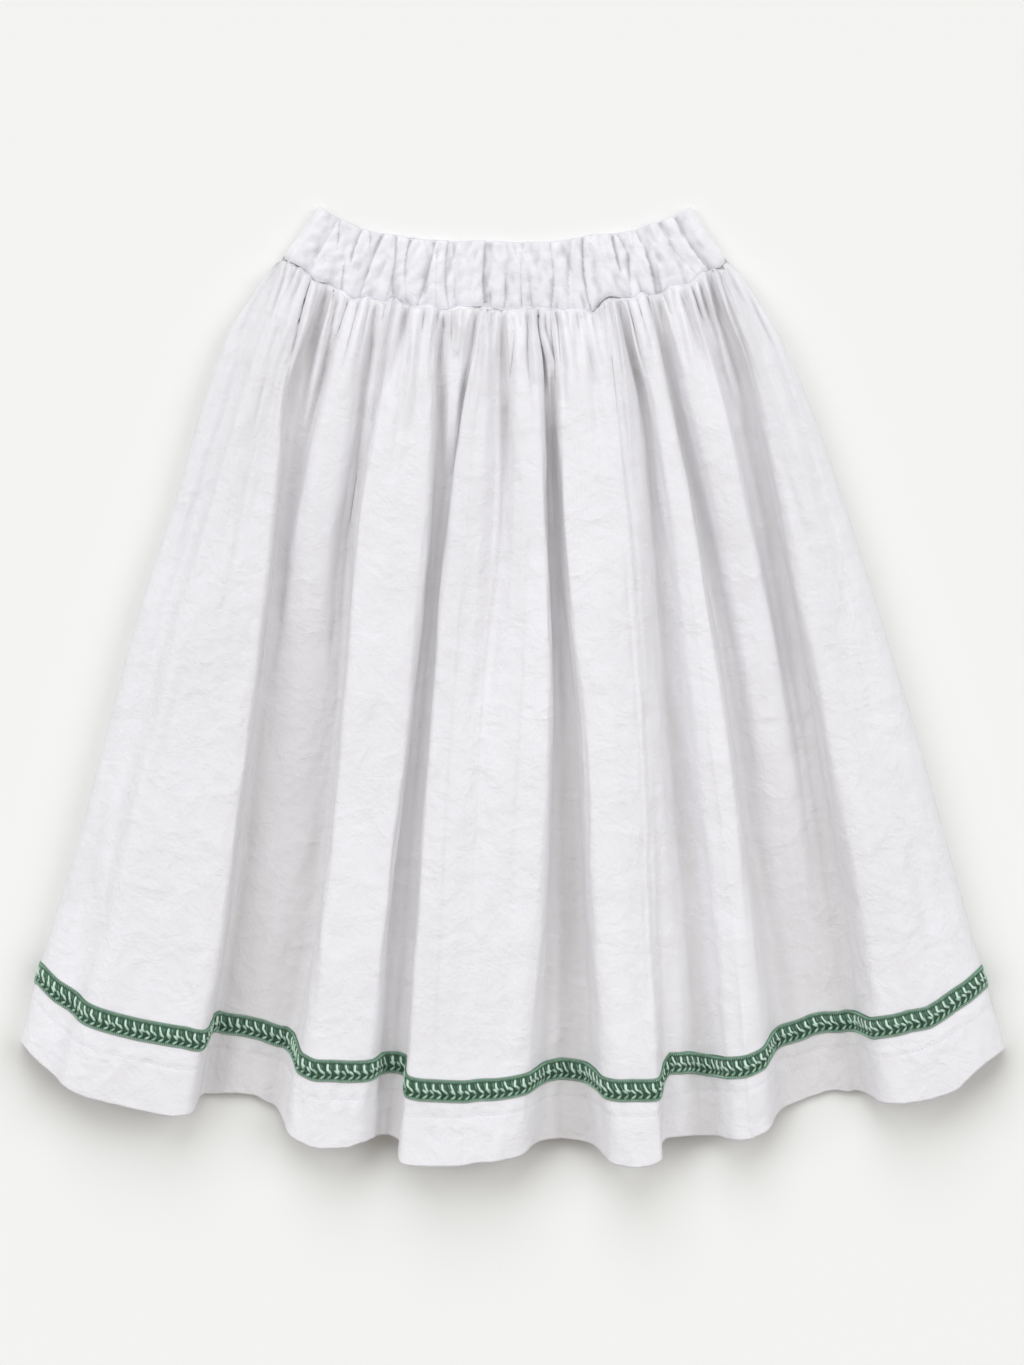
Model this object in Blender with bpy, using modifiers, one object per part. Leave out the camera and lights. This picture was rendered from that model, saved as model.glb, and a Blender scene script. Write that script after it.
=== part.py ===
"""Gathered midi skirt, laid out flat on a surface. Metres, +Z up, waist towards +Y.

The skirt spreads like a fan: every thread that runs from waist to hem lies on a ray
from one apex above the waist. A place on the cloth is an angle on that fan (degrees,
plus to the wearer's photo right, +X), a drop (0 at the waist seam, 1 at the hem) and a
height over the surface. Each panel is a row of sections across the fan, from the left
side seam over the front to the right one, and back under the skirt for the back panel.
The origin is on the surface, under the middle of the skirt.
"""

import math
from collections import namedtuple

import bpy
import numpy as np

# Driving dimensions
APEX_X = -0.0090  # where the fan's rays meet
APEX_Y = 0.8956
TOP_RADIUS = 0.5280  # waistband's top edge, from the apex
SEAM_RADIUS = 0.5820  # waist seam
HEM_RADIUS = 1.2780  # hem edge
CLOTH = 0.0015  # wall of the two skirt panels
BAND_WALL = 0.0030  # waistband: folded cloth round an elastic
BAND_PUFF = 0.0016  # the band swells between its edges
SEAM_HEIGHT = 0.0100  # top of the flattened waist over the surface
SIDE_SEAM_HEIGHT = 0.0060  # side seams run along the skirt's rounded edges
SEAM_GAP = 0.0003
WAIST_GAP = 0.0004
TRIM_WIDTH = 0.0180  # braid round the hem
TRIM_ABOVE_HEM = 0.0510
TRIM_THICKNESS = 0.0013
BILLOW = 0.045  # drop over which the cloth swells up from the waist seam

# Rows of a panel, as drops: many short ones in the gathers, then down to the hem
DROP_LENGTH = HEM_RADIUS - SEAM_RADIUS
TRIM_FOOT = 1 - TRIM_ABOVE_HEM / DROP_LENGTH
TRIM_TOP = TRIM_FOOT - TRIM_WIDTH / DROP_LENGTH
GATHER_DROPS = (0.0, 0.010, 0.028, 0.062, 0.120)
BACK_GATHER_DROPS = (0.0, 0.024, 0.070, 0.125)
FOLD_DROPS = (0.175, 0.25, 0.34, 0.44, 0.55, 0.66, 0.77, 0.85, TRIM_TOP, TRIM_FOOT, 0.965, 1.0)
FRONT_COLUMNS = 152  # spans across the gathers, an even number
BACK_COLUMNS = 128
FRONT_GATHERS = 38
BACK_GATHERS = 32
GATHER_RISE = 0.0034
GATHER_HALF_WIDTH = 0.52  # of the distance between two gathers
BAND_ROWS = (0.0, 0.3, 0.68, 1.0)  # from the band's top edge to the waist seam
BAND_SIDE_FADE = 0.08  # share of the width over which the band's relief dies at each side

# Plan of the flattened skirt: side edges of the fan, and how far the waistband's two
# edges stray from their radii
Side = namedtuple("Side", "drop left right")
SIDES = [
    Side(0.00, -18.55, 19.04),
    Side(0.025, -19.38, 19.75),
    Side(0.050, -19.80, 20.22),
    Side(0.09, -20.45, 20.72),
    Side(0.14, -20.57, 21.02),
    Side(0.22, -20.35, 21.06),
    Side(0.31, -20.00, 20.90),
    Side(0.44, -19.83, 20.57),
    Side(0.57, -19.40, 20.28),
    Side(0.75, -18.88, 19.77),
    Side(0.88, -18.75, 19.45),
    Side(1.00, -18.50, 19.25),
]
TOP_SIDE_LEFT = -16.90
TOP_SIDE_RIGHT = 17.56

Edge = namedtuple("Edge", "angle stray")
TOP_EDGE = [
    Edge(-16.9, -0.0076),
    Edge(-15.0, -0.0034),
    Edge(-12.6, 0.0008),
    Edge(-5.8, 0.0000),
    Edge(-1.1, -0.0011),
    Edge(4.3, 0.0004),
    Edge(7.6, -0.0009),
    Edge(11.8, 0.0003),
    Edge(15.9, -0.0024),
    Edge(17.6, -0.0045),
]
SEAM_EDGE = [
    Edge(-18.6, -0.0120),
    Edge(-16.8, -0.0093),
    Edge(-15.4, -0.0018),
    Edge(-13.8, -0.0010),
    Edge(-12.1, 0.0048),
    Edge(-10.5, 0.0003),
    Edge(-9.1, -0.0036),
    Edge(-7.5, 0.0004),
    Edge(-4.5, 0.0015),
    Edge(-1.5, -0.0028),
    Edge(0.0, 0.0007),
    Edge(4.6, 0.0015),
    Edge(7.2, 0.0052),
    Edge(8.8, -0.0031),
    Edge(10.6, 0.0023),
    Edge(11.4, -0.0014),
    Edge(12.6, 0.0032),
    Edge(14.1, -0.0022),
    Edge(15.5, 0.0003),
    Edge(17.5, -0.0068),
    Edge(19.0, -0.0093),
]

# Folds of the front, left to right. left, right, height and floor are read at these
# drops. A tuck says how far the foot of a fold's wall lies under the fold (plus) or out
# in the valley (minus). flare and inset move the hem out and in.
STATIONS = (0.0, 0.24, 0.48, 0.77, 1.0)
Crest = namedtuple("Crest", "name left right height left_tuck right_tuck flare")
CRESTS = [
    Crest("left side", (-17.9, -17.8, -17.3, -16.5, -16.3), (-15.9, -14.3, -12.8, -11.8, -11.5),
          (0.032, 0.036, 0.042, 0.046, 0.046), 0.0, 0.005, 0.004),
    Crest("left short", (-12.5, -12.6, -11.8, -10.8, -10.6), (-10.7, -10.3, -9.3, -9.3, -9.4),
          (0.028, 0.029, 0.024, 0.008, 0.006), -0.005, -0.005, -0.022),
    Crest("left inner", (-9.1, -9.0, -8.2, -7.8, -8.1), (-5.2, -4.4, -4.8, -5.15, -5.0),
          (0.032, 0.037, 0.042, 0.046, 0.047), -0.002, -0.007, 0.008),
    Crest("middle left", (-1.9, -3.3, -3.7, -3.9, -3.85), (-0.6, -1.0, -1.5, -1.7, -1.7),
          (0.030, 0.035, 0.044, 0.050, 0.052), 0.007, -0.004, 0.016),
    Crest("middle right", (1.0, 0.7, -0.4, -0.9, -1.1), (3.1, 2.6, 2.4, 1.6, 0.9),
          (0.030, 0.031, 0.043, 0.049, 0.050), -0.004, -0.011, 0.010),
    Crest("right inner", (3.9, 3.7, 4.05, 3.8, 3.7), (8.8, 8.15, 7.4, 6.5, 5.95),
          (0.034, 0.039, 0.047, 0.052, 0.053), -0.007, 0.007, 0.017),
    Crest("right short", (10.1, 10.4, 9.6, 8.6, 8.2), (12.2, 11.9, 11.4, 10.7, 10.5),
          (0.028, 0.031, 0.036, 0.041, 0.044), -0.009, -0.001, 0.006),
    Crest("right fading", (13.1, 13.0, 12.7, 12.2, 12.1), (15.5, 15.5, 14.5, 13.3, 12.9),
          (0.028, 0.031, 0.028, 0.012, 0.006), -0.004, -0.005, -0.017),
    Crest("right side", (17.0, 17.2, 16.1, 14.9, 14.0), (18.3, 19.1, 18.3, 17.4, 17.0),
          (0.031, 0.036, 0.042, 0.046, 0.046), -0.005, 0.0, 0.004),
]
Valley = namedtuple("Valley", "name floor inset")
VALLEYS = [
    Valley("beside the left side", (0.014, 0.011, 0.009, 0.0055, 0.0050), -0.022),
    Valley("left of the left inner", (0.015, 0.013, 0.010, 0.0060, 0.0050), -0.020),
    Valley("left of the middle", (0.014, 0.011, 0.010, 0.0080, 0.0070), -0.006),
    Valley("in the middle fold", (0.015, 0.016, 0.035, 0.0480, 0.0505), 0.014),
    Valley("right of the middle", (0.014, 0.012, 0.010, 0.0070, 0.0060), -0.007),
    Valley("right of the right inner", (0.013, 0.010, 0.008, 0.0060, 0.0055), -0.003),
    Valley("between the short ones", (0.015, 0.013, 0.010, 0.0060, 0.0050), -0.017),
    Valley("beside the right side", (0.014, 0.012, 0.009, 0.0060, 0.0050), -0.015),
]
LEFT_SIDE_FLARE = -0.014
RIGHT_SIDE_FLARE = -0.007
BACK_FLARE = -0.034  # the back hem lies behind the front one
BACK_FLARE_ANGLE = 2.5  # over which it draws in from the side seams, in degrees
SHOULDER = 0.020  # how far a fold takes to round over at its edges
WALL_LAG = 0.07  # how far the hem draws in down a fold's wall, for each metre of depth
FOOT_LAG = 0.20
FOOT_ROOM = 0.3  # share of a valley that one fold's foot may take

# Folds of the back stand up off the surface, inside the hollow of the front's folds
BackFold = namedtuple("BackFold", "angle width height")
BACK_FOLDS = [
    BackFold((-15.5, -15.6, -15.0, -14.4, -14.2), 0.030, 0.0060),
    BackFold((-7.2, -6.8, -6.5, -6.4, -6.5), 0.024, 0.0045),
    BackFold((0.9, -1.6, -1.7, -1.6, -1.6), 0.034, 0.0070),
    BackFold((6.3, 5.9, 5.7, 5.2, 4.9), 0.026, 0.0050),
    BackFold((16.8, 18.0, 17.2, 16.2, 15.6), 0.024, 0.0045),
]
BACK_FOLD_PROFILE = ((-1.0, 0.0), (-0.45, 0.6), (0.0, 1.0), (0.45, 0.6), (1.0, 0.0))

# Creases of the gathered waistband, each a soft groove from the top edge to the seam
Crease = namedtuple("Crease", "top foot depth")
CREASES = [
    Crease(-15.2, -16.4, 0.0007),
    Crease(-12.7, -12.8, 0.0016),
    Crease(-10.5, -11.4, 0.0016),
    Crease(-9.2, -9.5, 0.0010),
    Crease(-8.0, -7.9, 0.0014),
    Crease(-6.0, -6.3, 0.0013),
    Crease(-4.9, -4.5, 0.0010),
    Crease(-1.5, -1.6, 0.0014),
    Crease(1.9, 1.5, 0.0010),
    Crease(4.3, 4.0, 0.0013),
    Crease(6.2, 5.9, 0.0008),
    Crease(7.3, 7.2, 0.0018),
    Crease(9.9, 10.4, 0.0017),
    Crease(12.2, 12.5, 0.0019),
    Crease(14.2, 16.3, 0.0009),
    Crease(15.7, 17.6, 0.0008),
]
CREASE_WIDTH = 0.55  # degrees

COTTON_WHITE = (233, 232, 237)
BRAID_GREEN = (112, 143, 124)


def smooth(knots, values, where):
    """Read a value off a smooth curve through a few knots."""
    slopes = np.gradient(np.asarray(values, float), np.asarray(knots, float))
    span = int(np.clip(np.searchsorted(knots, where, side="right") - 1, 0, len(knots) - 2))
    width = knots[span + 1] - knots[span]
    t = min(max((where - knots[span]) / width, 0.0), 1.0)
    start, end = values[span], values[span + 1]
    rise_start = slopes[span] * width
    rise_end = slopes[span + 1] * width
    return (
        (2 * t**3 - 3 * t**2 + 1) * start
        + (t**3 - 2 * t**2 + t) * rise_start
        + (3 * t**2 - 2 * t**3) * end
        + (t**3 - t**2) * rise_end
    )


def station(values, drop):
    return smooth(STATIONS, values, drop)


def side_angles(drop):
    drops = [side.drop for side in SIDES]
    left = smooth(drops, [side.left for side in SIDES], drop)
    right = smooth(drops, [side.right for side in SIDES], drop)
    return left, right


def edge_radius(radius, edge, angle):
    return radius + smooth([e.angle for e in edge], [e.stray for e in edge], angle)


def degrees_of(length, drop):
    """An arc's length across the fan, as an angle at that drop."""
    return math.degrees(length / (SEAM_RADIUS + drop * DROP_LENGTH))


def billowed(height, drop):
    """Height of the front over the surface: it swells from the waist seam down."""
    return SEAM_HEIGHT + (height - SEAM_HEIGHT) * (1 - math.exp(-drop / BILLOW))


def fold_points(number, drop, low, high):
    """Angle, height and hem flare of seven points over a fold, foot to foot."""
    crest = CRESTS[number]
    left, right = station(crest.left, drop), station(crest.right, drop)
    top = billowed(station(crest.height, drop), drop)
    shoulder = min(degrees_of(SHOULDER, drop), 0.28 * (right - left))
    before = left if number == 0 else station(CRESTS[number - 1].right, drop)
    after = right if crest is CRESTS[-1] else station(CRESTS[number + 1].left, drop)
    left_foot = left + foot_shift(crest.left_tuck, drop, left - before)
    right_foot = right - foot_shift(crest.right_tuck, drop, after - right)
    left_depth, right_depth = top - low, top - high
    return [
        (left_foot, low + 0.16 * left_depth, crest.flare - FOOT_LAG * left_depth),
        (left, low + 0.55 * left_depth, crest.flare - WALL_LAG * left_depth),
        (left + shoulder, low + 0.91 * left_depth, crest.flare),
        (left + 0.45 * (right - left), top, crest.flare),
        (right - shoulder, high + 0.92 * right_depth, crest.flare),
        (right, high + 0.55 * right_depth, crest.flare - WALL_LAG * right_depth),
        (right_foot, high + 0.16 * right_depth, crest.flare - FOOT_LAG * right_depth),
    ]


def foot_shift(tuck, drop, room):
    """How far a foot lies under its fold, as an angle. It leaves the valley's middle free."""
    wanted = degrees_of(tuck, drop) * min(drop / STATIONS[1], 1.0)
    return max(wanted, -FOOT_ROOM * max(room, 0.0))


def side_points(edge, shoulder, top, flare):
    """Points from a side seam, straight up, over the skirt's rounded side."""
    foot = SIDE_SEAM_HEIGHT + SEAM_GAP
    rise = top - foot
    slope = shoulder - edge
    return [
        (edge, foot, flare),
        (edge, foot + min(0.3 * rise, 0.005), flare),
        (edge + 0.10 * slope, foot + 0.50 * rise, flare),
        (edge + 0.42 * slope, foot + 0.80 * rise, flare),
    ]


def front_section(drop):
    """Angle, height and hem flare across the front, left side seam to right."""
    left_edge, right_edge = side_angles(drop)
    tops = [billowed(station(crest.height, drop), drop) for crest in CRESTS]
    floors = [billowed(station(valley.floor, drop), drop) for valley in VALLEYS]
    floors = [0.94 * tops[0]] + floors + [0.94 * tops[-1]]
    folds = [
        fold_points(number, drop, floors[number], floors[number + 1])
        for number in range(len(CRESTS))
    ]
    points = side_points(left_edge, folds[0][2][0], tops[0], LEFT_SIDE_FLARE)
    points += folds[0][2:]
    for number, valley in enumerate(VALLEYS):
        following = folds[number + 1]
        middle = (points[-1][0] + following[0][0]) / 2
        points.append((middle, floors[number + 1], valley.inset))
        points += following
    right = side_points(right_edge, folds[-1][4][0], tops[-1], RIGHT_SIDE_FLARE)
    return np.array(points[:-2] + right[::-1])


def back_section(drop):
    """Angle, height and hem flare across the back, right side seam to left."""
    left_edge, right_edge = side_angles(drop)
    rest = back_rest(drop)
    grown = min(drop / STATIONS[1], 1.0)
    side = [(0.0, SIDE_SEAM_HEIGHT), (0.0, 0.0034), (0.0014, rest + 0.0008), (0.005, rest)]
    points = [(left_edge + degrees_of(inward, drop), max(height, rest)) for inward, height in side]
    for fold in BACK_FOLDS:
        middle = station(fold.angle, drop)
        half = degrees_of(fold.width, drop) / 2
        points.append(((points[-1][0] + middle - half) / 2, rest))
        for place, part in BACK_FOLD_PROFILE:
            points.append((middle + place * half, rest + part * grown * fold.height))
    points += [
        (right_edge - degrees_of(inward, drop), max(height, rest))
        for inward, height in reversed(side)
    ]
    flares = np.interp(
        [angle for angle, height in points],
        (left_edge, left_edge + BACK_FLARE_ANGLE, right_edge - BACK_FLARE_ANGLE, right_edge),
        (LEFT_SIDE_FLARE, BACK_FLARE, BACK_FLARE, RIGHT_SIDE_FLARE),
    )
    section = [(angle, height, flare) for (angle, height), flare in zip(points, flares)]
    return np.array(section[::-1])


def back_rest(drop):
    """The back lies on the surface, and on the braid where that is under it."""
    lift = TRIM_THICKNESS + SEAM_GAP
    return float(np.interp(drop, (0.85, TRIM_TOP, TRIM_FOOT, 1.0), (0.0, lift, lift, 0.0)))


def curve_through(points, drop, steps=12):
    """A centripetal curve through a section's points, many places along it."""
    scale = math.radians(1) * (SEAM_RADIUS + drop * DROP_LENGTH)
    knots = points * (scale, 1.0, 1.0)
    ends = (2 * knots[0] - knots[1], 2 * knots[-1] - knots[-2])
    knots = np.vstack((ends[0], knots, ends[1]))
    times = np.sqrt(np.maximum(np.hypot(*np.diff(knots[:, :2], axis=0).T), 1e-6))
    curve = []
    for before, start, end, after, a, b, c in zip(
        knots, knots[1:], knots[2:], knots[3:], times, times[1:], times[2:]
    ):
        leave = ((start - before) / a - (end - before) / (a + b) + (end - start) / b) * b
        arrive = ((end - start) / b - (after - start) / (b + c) + (after - end) / c) * b
        for t in np.arange(steps) / steps:
            curve.append(
                (2 * t**3 - 3 * t**2 + 1) * start
                + (t**3 - 2 * t**2 + t) * leave
                + (3 * t**2 - 2 * t**3) * end
                + (t**3 - t**2) * arrive
            )
    curve.append(knots[-2])
    return np.array(curve) / (scale, 1.0, 1.0), scale


def spread_evenly(points, drop, spans):
    """Places at even distances along a section, whose upright ends stay as they are."""
    curve, scale = curve_through(points[1:-1], drop)
    steps = np.hypot(scale * np.diff(curve[:, 0]), np.diff(curve[:, 1]))
    along = np.concatenate(([0.0], np.cumsum(steps)))
    wanted = np.linspace(0.0, along[-1], spans - 1)
    inner = np.column_stack([np.interp(wanted, along, column) for column in curve.T])
    inner[:, 1] = np.maximum(inner[:, 1], 0.0)
    return np.vstack((points[0], inner, points[-1]))


def gathers(along, drop, count, seed):
    """Height of the small pleats below the waist seam, uneven in width and length."""
    chance = np.random.default_rng(seed)
    shifts = chance.uniform(-0.22, 0.22, count)
    sizes = chance.uniform(0.65, 1.0, count)
    lengths = chance.uniform(0.08, 0.17, count)
    height = np.zeros_like(along)
    for number in range(count):
        centre = (number + 0.5 + shifts[number]) / count
        near = np.clip(np.abs(along - centre) * count / GATHER_HALF_WIDTH, 0.0, 1.0)
        fade = min(1.0, 0.35 + drop / 0.02) * max(0.0, 1 - drop / lengths[number])
        height += GATHER_RISE * sizes[number] * fade * (0.5 + 0.5 * np.cos(math.pi * near))
    return height * np.clip(np.minimum(along, 1 - along) / 0.03, 0.0, 1.0)


def on_fan(section, drop):
    """World places of a section's points."""
    seam = np.array([edge_radius(SEAM_RADIUS, SEAM_EDGE, angle) for angle in section[:, 0]])
    if drop == 0.0:
        seam[1::2] = (seam[0:-1:2] + seam[2::2]) / 2  # straight between the band's corners
        seam += WAIST_GAP
    hem = HEM_RADIUS + section[:, 2]
    return place(section[:, 0], seam + drop * (hem - seam), section[:, 1])


def place(angles, radii, heights):
    rays = np.radians(angles)
    return np.column_stack((APEX_X + radii * np.sin(rays), APEX_Y - radii * np.cos(rays), heights))


def panel_rows(section_at, gather_drops, spans, gather_count, seed):
    """Rows of a panel's outer points, from the waist seam to the hem."""
    rows = []
    for drop in gather_drops:
        section = spread_evenly(section_at(drop), drop, spans)
        along = np.linspace(0.0, 1.0, spans + 1)
        section[:, 1] += gathers(along, drop, gather_count, seed)
        rows.append(on_fan(section, drop))
    rows += [on_fan(section_at(drop), drop) for drop in FOLD_DROPS]
    return rows


def lengths_along(row):
    steps = np.linalg.norm(np.diff(row, axis=0), axis=1)
    along = np.concatenate(([0.0], np.cumsum(steps)))
    return along / along[-1]


def join_rows(upper, lower, upper_start, lower_start):
    """Triangles between two rows, kept in step by length where their counts differ."""
    if len(upper) == len(lower):
        upper_pace = lower_pace = np.arange(len(upper))
    else:
        upper_pace, lower_pace = lengths_along(upper), lengths_along(lower)
    faces = []
    i = j = 0
    while i < len(upper) - 1 or j < len(lower) - 1:
        lower_done = j == len(lower) - 1
        upper_done = i == len(upper) - 1
        if lower_done or (not upper_done and upper_pace[i + 1] <= lower_pace[j + 1]):
            faces.append((upper_start + i, lower_start + j, upper_start + i + 1))
            i += 1
        else:
            faces.append((upper_start + i, lower_start + j, lower_start + j + 1))
            j += 1
    return faces


def cotton():
    return material("white cotton", COTTON_WHITE, 0.85)


def braid():
    return material("green braid", BRAID_GREEN, 0.75)


def material(name, colour, roughness):
    found = bpy.data.materials.get(name) or bpy.data.materials.new(name)
    found.use_nodes = True
    shader = found.node_tree.nodes["Principled BSDF"]
    linear = [((value / 255 + 0.055) / 1.055) ** 2.4 for value in colour]
    shader.inputs["Base Color"].default_value = (*linear, 1.0)
    shader.inputs["Roughness"].default_value = roughness
    shader.inputs["Metallic"].default_value = 0.0
    return found


def cloth_piece(name, rows, thickness, side, look, closed=False):
    """A wall of cloth: rows of points joined as a surface, then given its thickness.

    side is -1 for a wall inside the points and 1 for one outside them. A closed piece
    is a tube, whose rows end where they start.
    """
    starts = np.cumsum([0] + [len(row) for row in rows])
    faces = []
    for number in range(len(rows) - 1):
        upper, lower = rows[number], rows[number + 1]
        faces += join_rows(upper, lower, starts[number], starts[number + 1])
    mesh = bpy.data.meshes.new(name)
    points = np.vstack(rows)
    if closed:
        faces, points = close_rows(faces, rows, starts)
    mesh.from_pydata(points.tolist(), [], faces)
    mesh.materials.append(look)
    mesh.shade_smooth()
    piece = bpy.data.objects.new(name, mesh)
    skirt_collection().objects.link(piece)
    wall = piece.modifiers.new("cloth", "SOLIDIFY")
    wall.thickness = thickness
    wall.offset = side
    return piece


def close_rows(faces, rows, starts):
    """Sew each row's last point to its first."""
    first_of = {start + len(row) - 1: start for row, start in zip(rows, starts)}
    kept = [n for n in range(starts[-1]) if n not in first_of]
    new_number = {old: new for new, old in enumerate(kept)}
    sewn = [tuple(new_number[first_of.get(corner, corner)] for corner in face) for face in faces]
    return sewn, np.vstack(rows)[kept]


def skirt_collection():
    found = bpy.data.collections.get("gathered_skirt")
    if found is None:
        found = bpy.data.collections.new("gathered_skirt")
        bpy.context.scene.collection.children.link(found)
    return found


def trim_rows(rows):
    """The braid's inner points: the panel's own, moved out by the gap."""
    foot = len(rows) + FOLD_DROPS.index(TRIM_FOOT) - len(FOLD_DROPS)
    strip = np.array(rows[foot - 2:foot + 2])
    across = np.gradient(strip, axis=1)
    down = np.gradient(strip, axis=0)
    out = np.cross(down, across)
    out[:, (0, -1)] *= (1.0, 1.0, 0.0)  # level at the side seams
    out /= np.linalg.norm(out, axis=2, keepdims=True)
    return list((strip + SEAM_GAP * out)[1:3])


def band_rows(front_seam, back_seam):
    """The waistband's outer points: rings from its top edge down to the waist seam."""
    rings = []
    for part in BAND_ROWS:
        ring = [band_point(*corner[:2], part, relief=1.0) for corner in front_seam[:-1:2]]
        ring += [band_point(*corner[:2], part, relief=0.0) for corner in back_seam[:-1:2]]
        rings.append(np.array(ring + ring[:1]))
    return rings


def band_point(seam_angle, height, part, relief):
    """A place on the band above a corner of the seam; part runs from 0 at its top edge."""
    left, right = side_angles(0.0)
    across = (seam_angle - left) / (right - left)
    top_angle = TOP_SIDE_LEFT + across * (TOP_SIDE_RIGHT - TOP_SIDE_LEFT)
    top = edge_radius(TOP_RADIUS, TOP_EDGE, top_angle)
    seam = edge_radius(SEAM_RADIUS, SEAM_EDGE, seam_angle)
    angle = top_angle + part * (seam_angle - top_angle)
    relief *= min(1.0, min(across, 1 - across) / BAND_SIDE_FADE)
    height += relief * (BAND_PUFF * math.sin(math.pi * part) - creasing(angle, part))
    return place([angle], np.array([top + part * (seam - top)]), [height])[0]


def creasing(angle, part):
    """How deep the band's front is creased there."""
    depth = 0.0
    for crease in CREASES:
        middle = crease.top + part * (crease.foot - crease.top)
        near = min(abs(angle - middle) / CREASE_WIDTH, 1.0)
        depth += crease.depth * (0.5 + 0.5 * math.cos(math.pi * near))
    return depth


for old in list(bpy.data.objects):
    bpy.data.objects.remove(old, do_unlink=True)

front_rows = panel_rows(front_section, GATHER_DROPS, FRONT_COLUMNS, FRONT_GATHERS, seed=7)
back_rows = panel_rows(back_section, BACK_GATHER_DROPS, BACK_COLUMNS, BACK_GATHERS, seed=11)
cloth_piece("front_panel", front_rows, CLOTH, -1, cotton())
cloth_piece("back_panel", back_rows, CLOTH, -1, cotton())
cloth_piece(
    "waistband",
    band_rows(
        spread_evenly(front_section(0.0), 0.0, FRONT_COLUMNS),
        spread_evenly(back_section(0.0), 0.0, BACK_COLUMNS),
    ),
    BAND_WALL, -1, cotton(), closed=True,
)
cloth_piece("trim_front", trim_rows(front_rows), TRIM_THICKNESS, 1, braid())
cloth_piece("trim_back", trim_rows(back_rows), TRIM_THICKNESS, 1, braid())
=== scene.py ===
"""Gathered midi skirt laid out flat: its cloth, waistband, sewing and braid.

Metres, +Z up, waist towards +Y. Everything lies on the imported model's own frame.
"""

import math
from collections import namedtuple

import bpy
import numpy as np
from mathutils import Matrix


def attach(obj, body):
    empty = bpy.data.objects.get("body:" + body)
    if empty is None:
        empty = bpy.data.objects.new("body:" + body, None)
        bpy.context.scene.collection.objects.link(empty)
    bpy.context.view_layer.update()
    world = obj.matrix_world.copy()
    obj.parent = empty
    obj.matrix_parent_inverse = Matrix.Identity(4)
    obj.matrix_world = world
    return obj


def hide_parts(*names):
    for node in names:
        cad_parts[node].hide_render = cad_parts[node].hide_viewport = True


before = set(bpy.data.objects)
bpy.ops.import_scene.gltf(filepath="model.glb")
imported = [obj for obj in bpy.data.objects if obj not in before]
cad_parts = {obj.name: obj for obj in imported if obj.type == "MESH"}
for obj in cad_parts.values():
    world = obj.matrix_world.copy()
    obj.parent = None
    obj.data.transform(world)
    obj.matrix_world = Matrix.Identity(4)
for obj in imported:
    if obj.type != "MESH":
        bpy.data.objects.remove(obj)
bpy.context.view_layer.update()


# Front skirt panel ------------------------
# One wide piece of white plain-weave cotton, gathered into the waistband along its top
# edge, so that it falls in nine deep soft folds. Laid flat it spreads like a fan, and a
# place on it is an angle on that fan and a drop, 0 at the waist seam and 1 at the hem.
APEX_X, APEX_Y = -0.0090, 0.8956
SEAM_RADIUS = 0.5820
HEM_RADIUS = 1.2780
DROP_LENGTH = HEM_RADIUS - SEAM_RADIUS
SEAM_HEIGHT = 0.0100
SIDE_SEAM_HEIGHT = 0.0061
BILLOW = 0.045  # drop over which the cloth swells up from the waist seam
SEAM_FADE = 0.12  # drop over which the waist seam's waves die out
CLOTH, HEM_CLOTH = 0.0009, 0.0016  # the hem is turned up
CLEARANCE = 0.0004  # of the cloth's inner side above the table
FRONT_FLAT = (1.06, 0.712)  # what shows of the cut: at the hem, and waist seam to hem fold
FRONT_ROWS, FRONT_ROW = 150, 0.0056  # how many, and the widest
FRONT_COLUMNS = (  # drop, and the widest column there
    (0.02, 0.0013), (0.08, 0.0018), (0.24, 0.0032), (0.6, 0.0046), (1.0, 0.0048),
)
THREAD = 0.00042  # from one thread of the weave to the next

# Side edges: drop, and the angles of the left one and the right one
SIDES = (
    (0, -18.55, 19.04), (0.025, -19.38, 19.75), (0.050, -19.80, 20.22), (0.09, -20.45, 20.72),
    (0.14, -20.57, 21.02), (0.22, -20.35, 21.06), (0.31, -20.00, 20.90), (0.44, -19.83, 20.57),
    (0.57, -19.40, 20.28), (0.75, -18.88, 19.77), (0.88, -18.75, 19.45), (1.00, -18.50, 19.25),
)
# Scallops of the waist seam: how far it strays from its radius in millimetres at each angle
SEAM_EDGE = (
    (-18.6, -12.2), (-17.5, -11.3), (-16.6, -9.3), (-16.0, -6.4), (-15.3, -2.1), (-14.6, -2.9),
    (-13.6, -1.2), (-12.9, 1.8), (-11.9, 5.1), (-11.0, 0.3), (-10.2, 1.3), (-9.4, 1.1), (-8.9, -3.4),
    (-8.4, -1.7), (-7.8, 0.7), (-7.0, 2.1), (-5.7, 0.3), (-5.0, 2.1), (-4.3, 2.0), (-3.6, -0.6),
    (-3.0, -1.4), (-2.1, -1.4), (-1.1, -2.5), (-0.5, -0.5), (0.1, 1.1), (0.9, 0.4), (1.7, -0.3), (2.9, 0.2),
    (3.8, 1.5), (4.7, 2.3), (5.7, 3.6), (6.6, 5.0), (7.5, 6.1), (7.9, 1.7), (8.5, -2.5), (9.4, -2.4),
    (10.0, 0.1), (10.6, 2.9), (11.1, 1.2), (11.4, -0.8), (12.1, 1.3), (12.7, 4.1), (13.3, 2.5),
    (13.7, -0.6), (14.1, -1.5), (14.8, -0.1), (15.6, 0.9), (16.1, -1.0), (16.6, -3.7), (17.6, -6.1),
    (18.3, -5.2), (19.1, -8.8),
)

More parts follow.
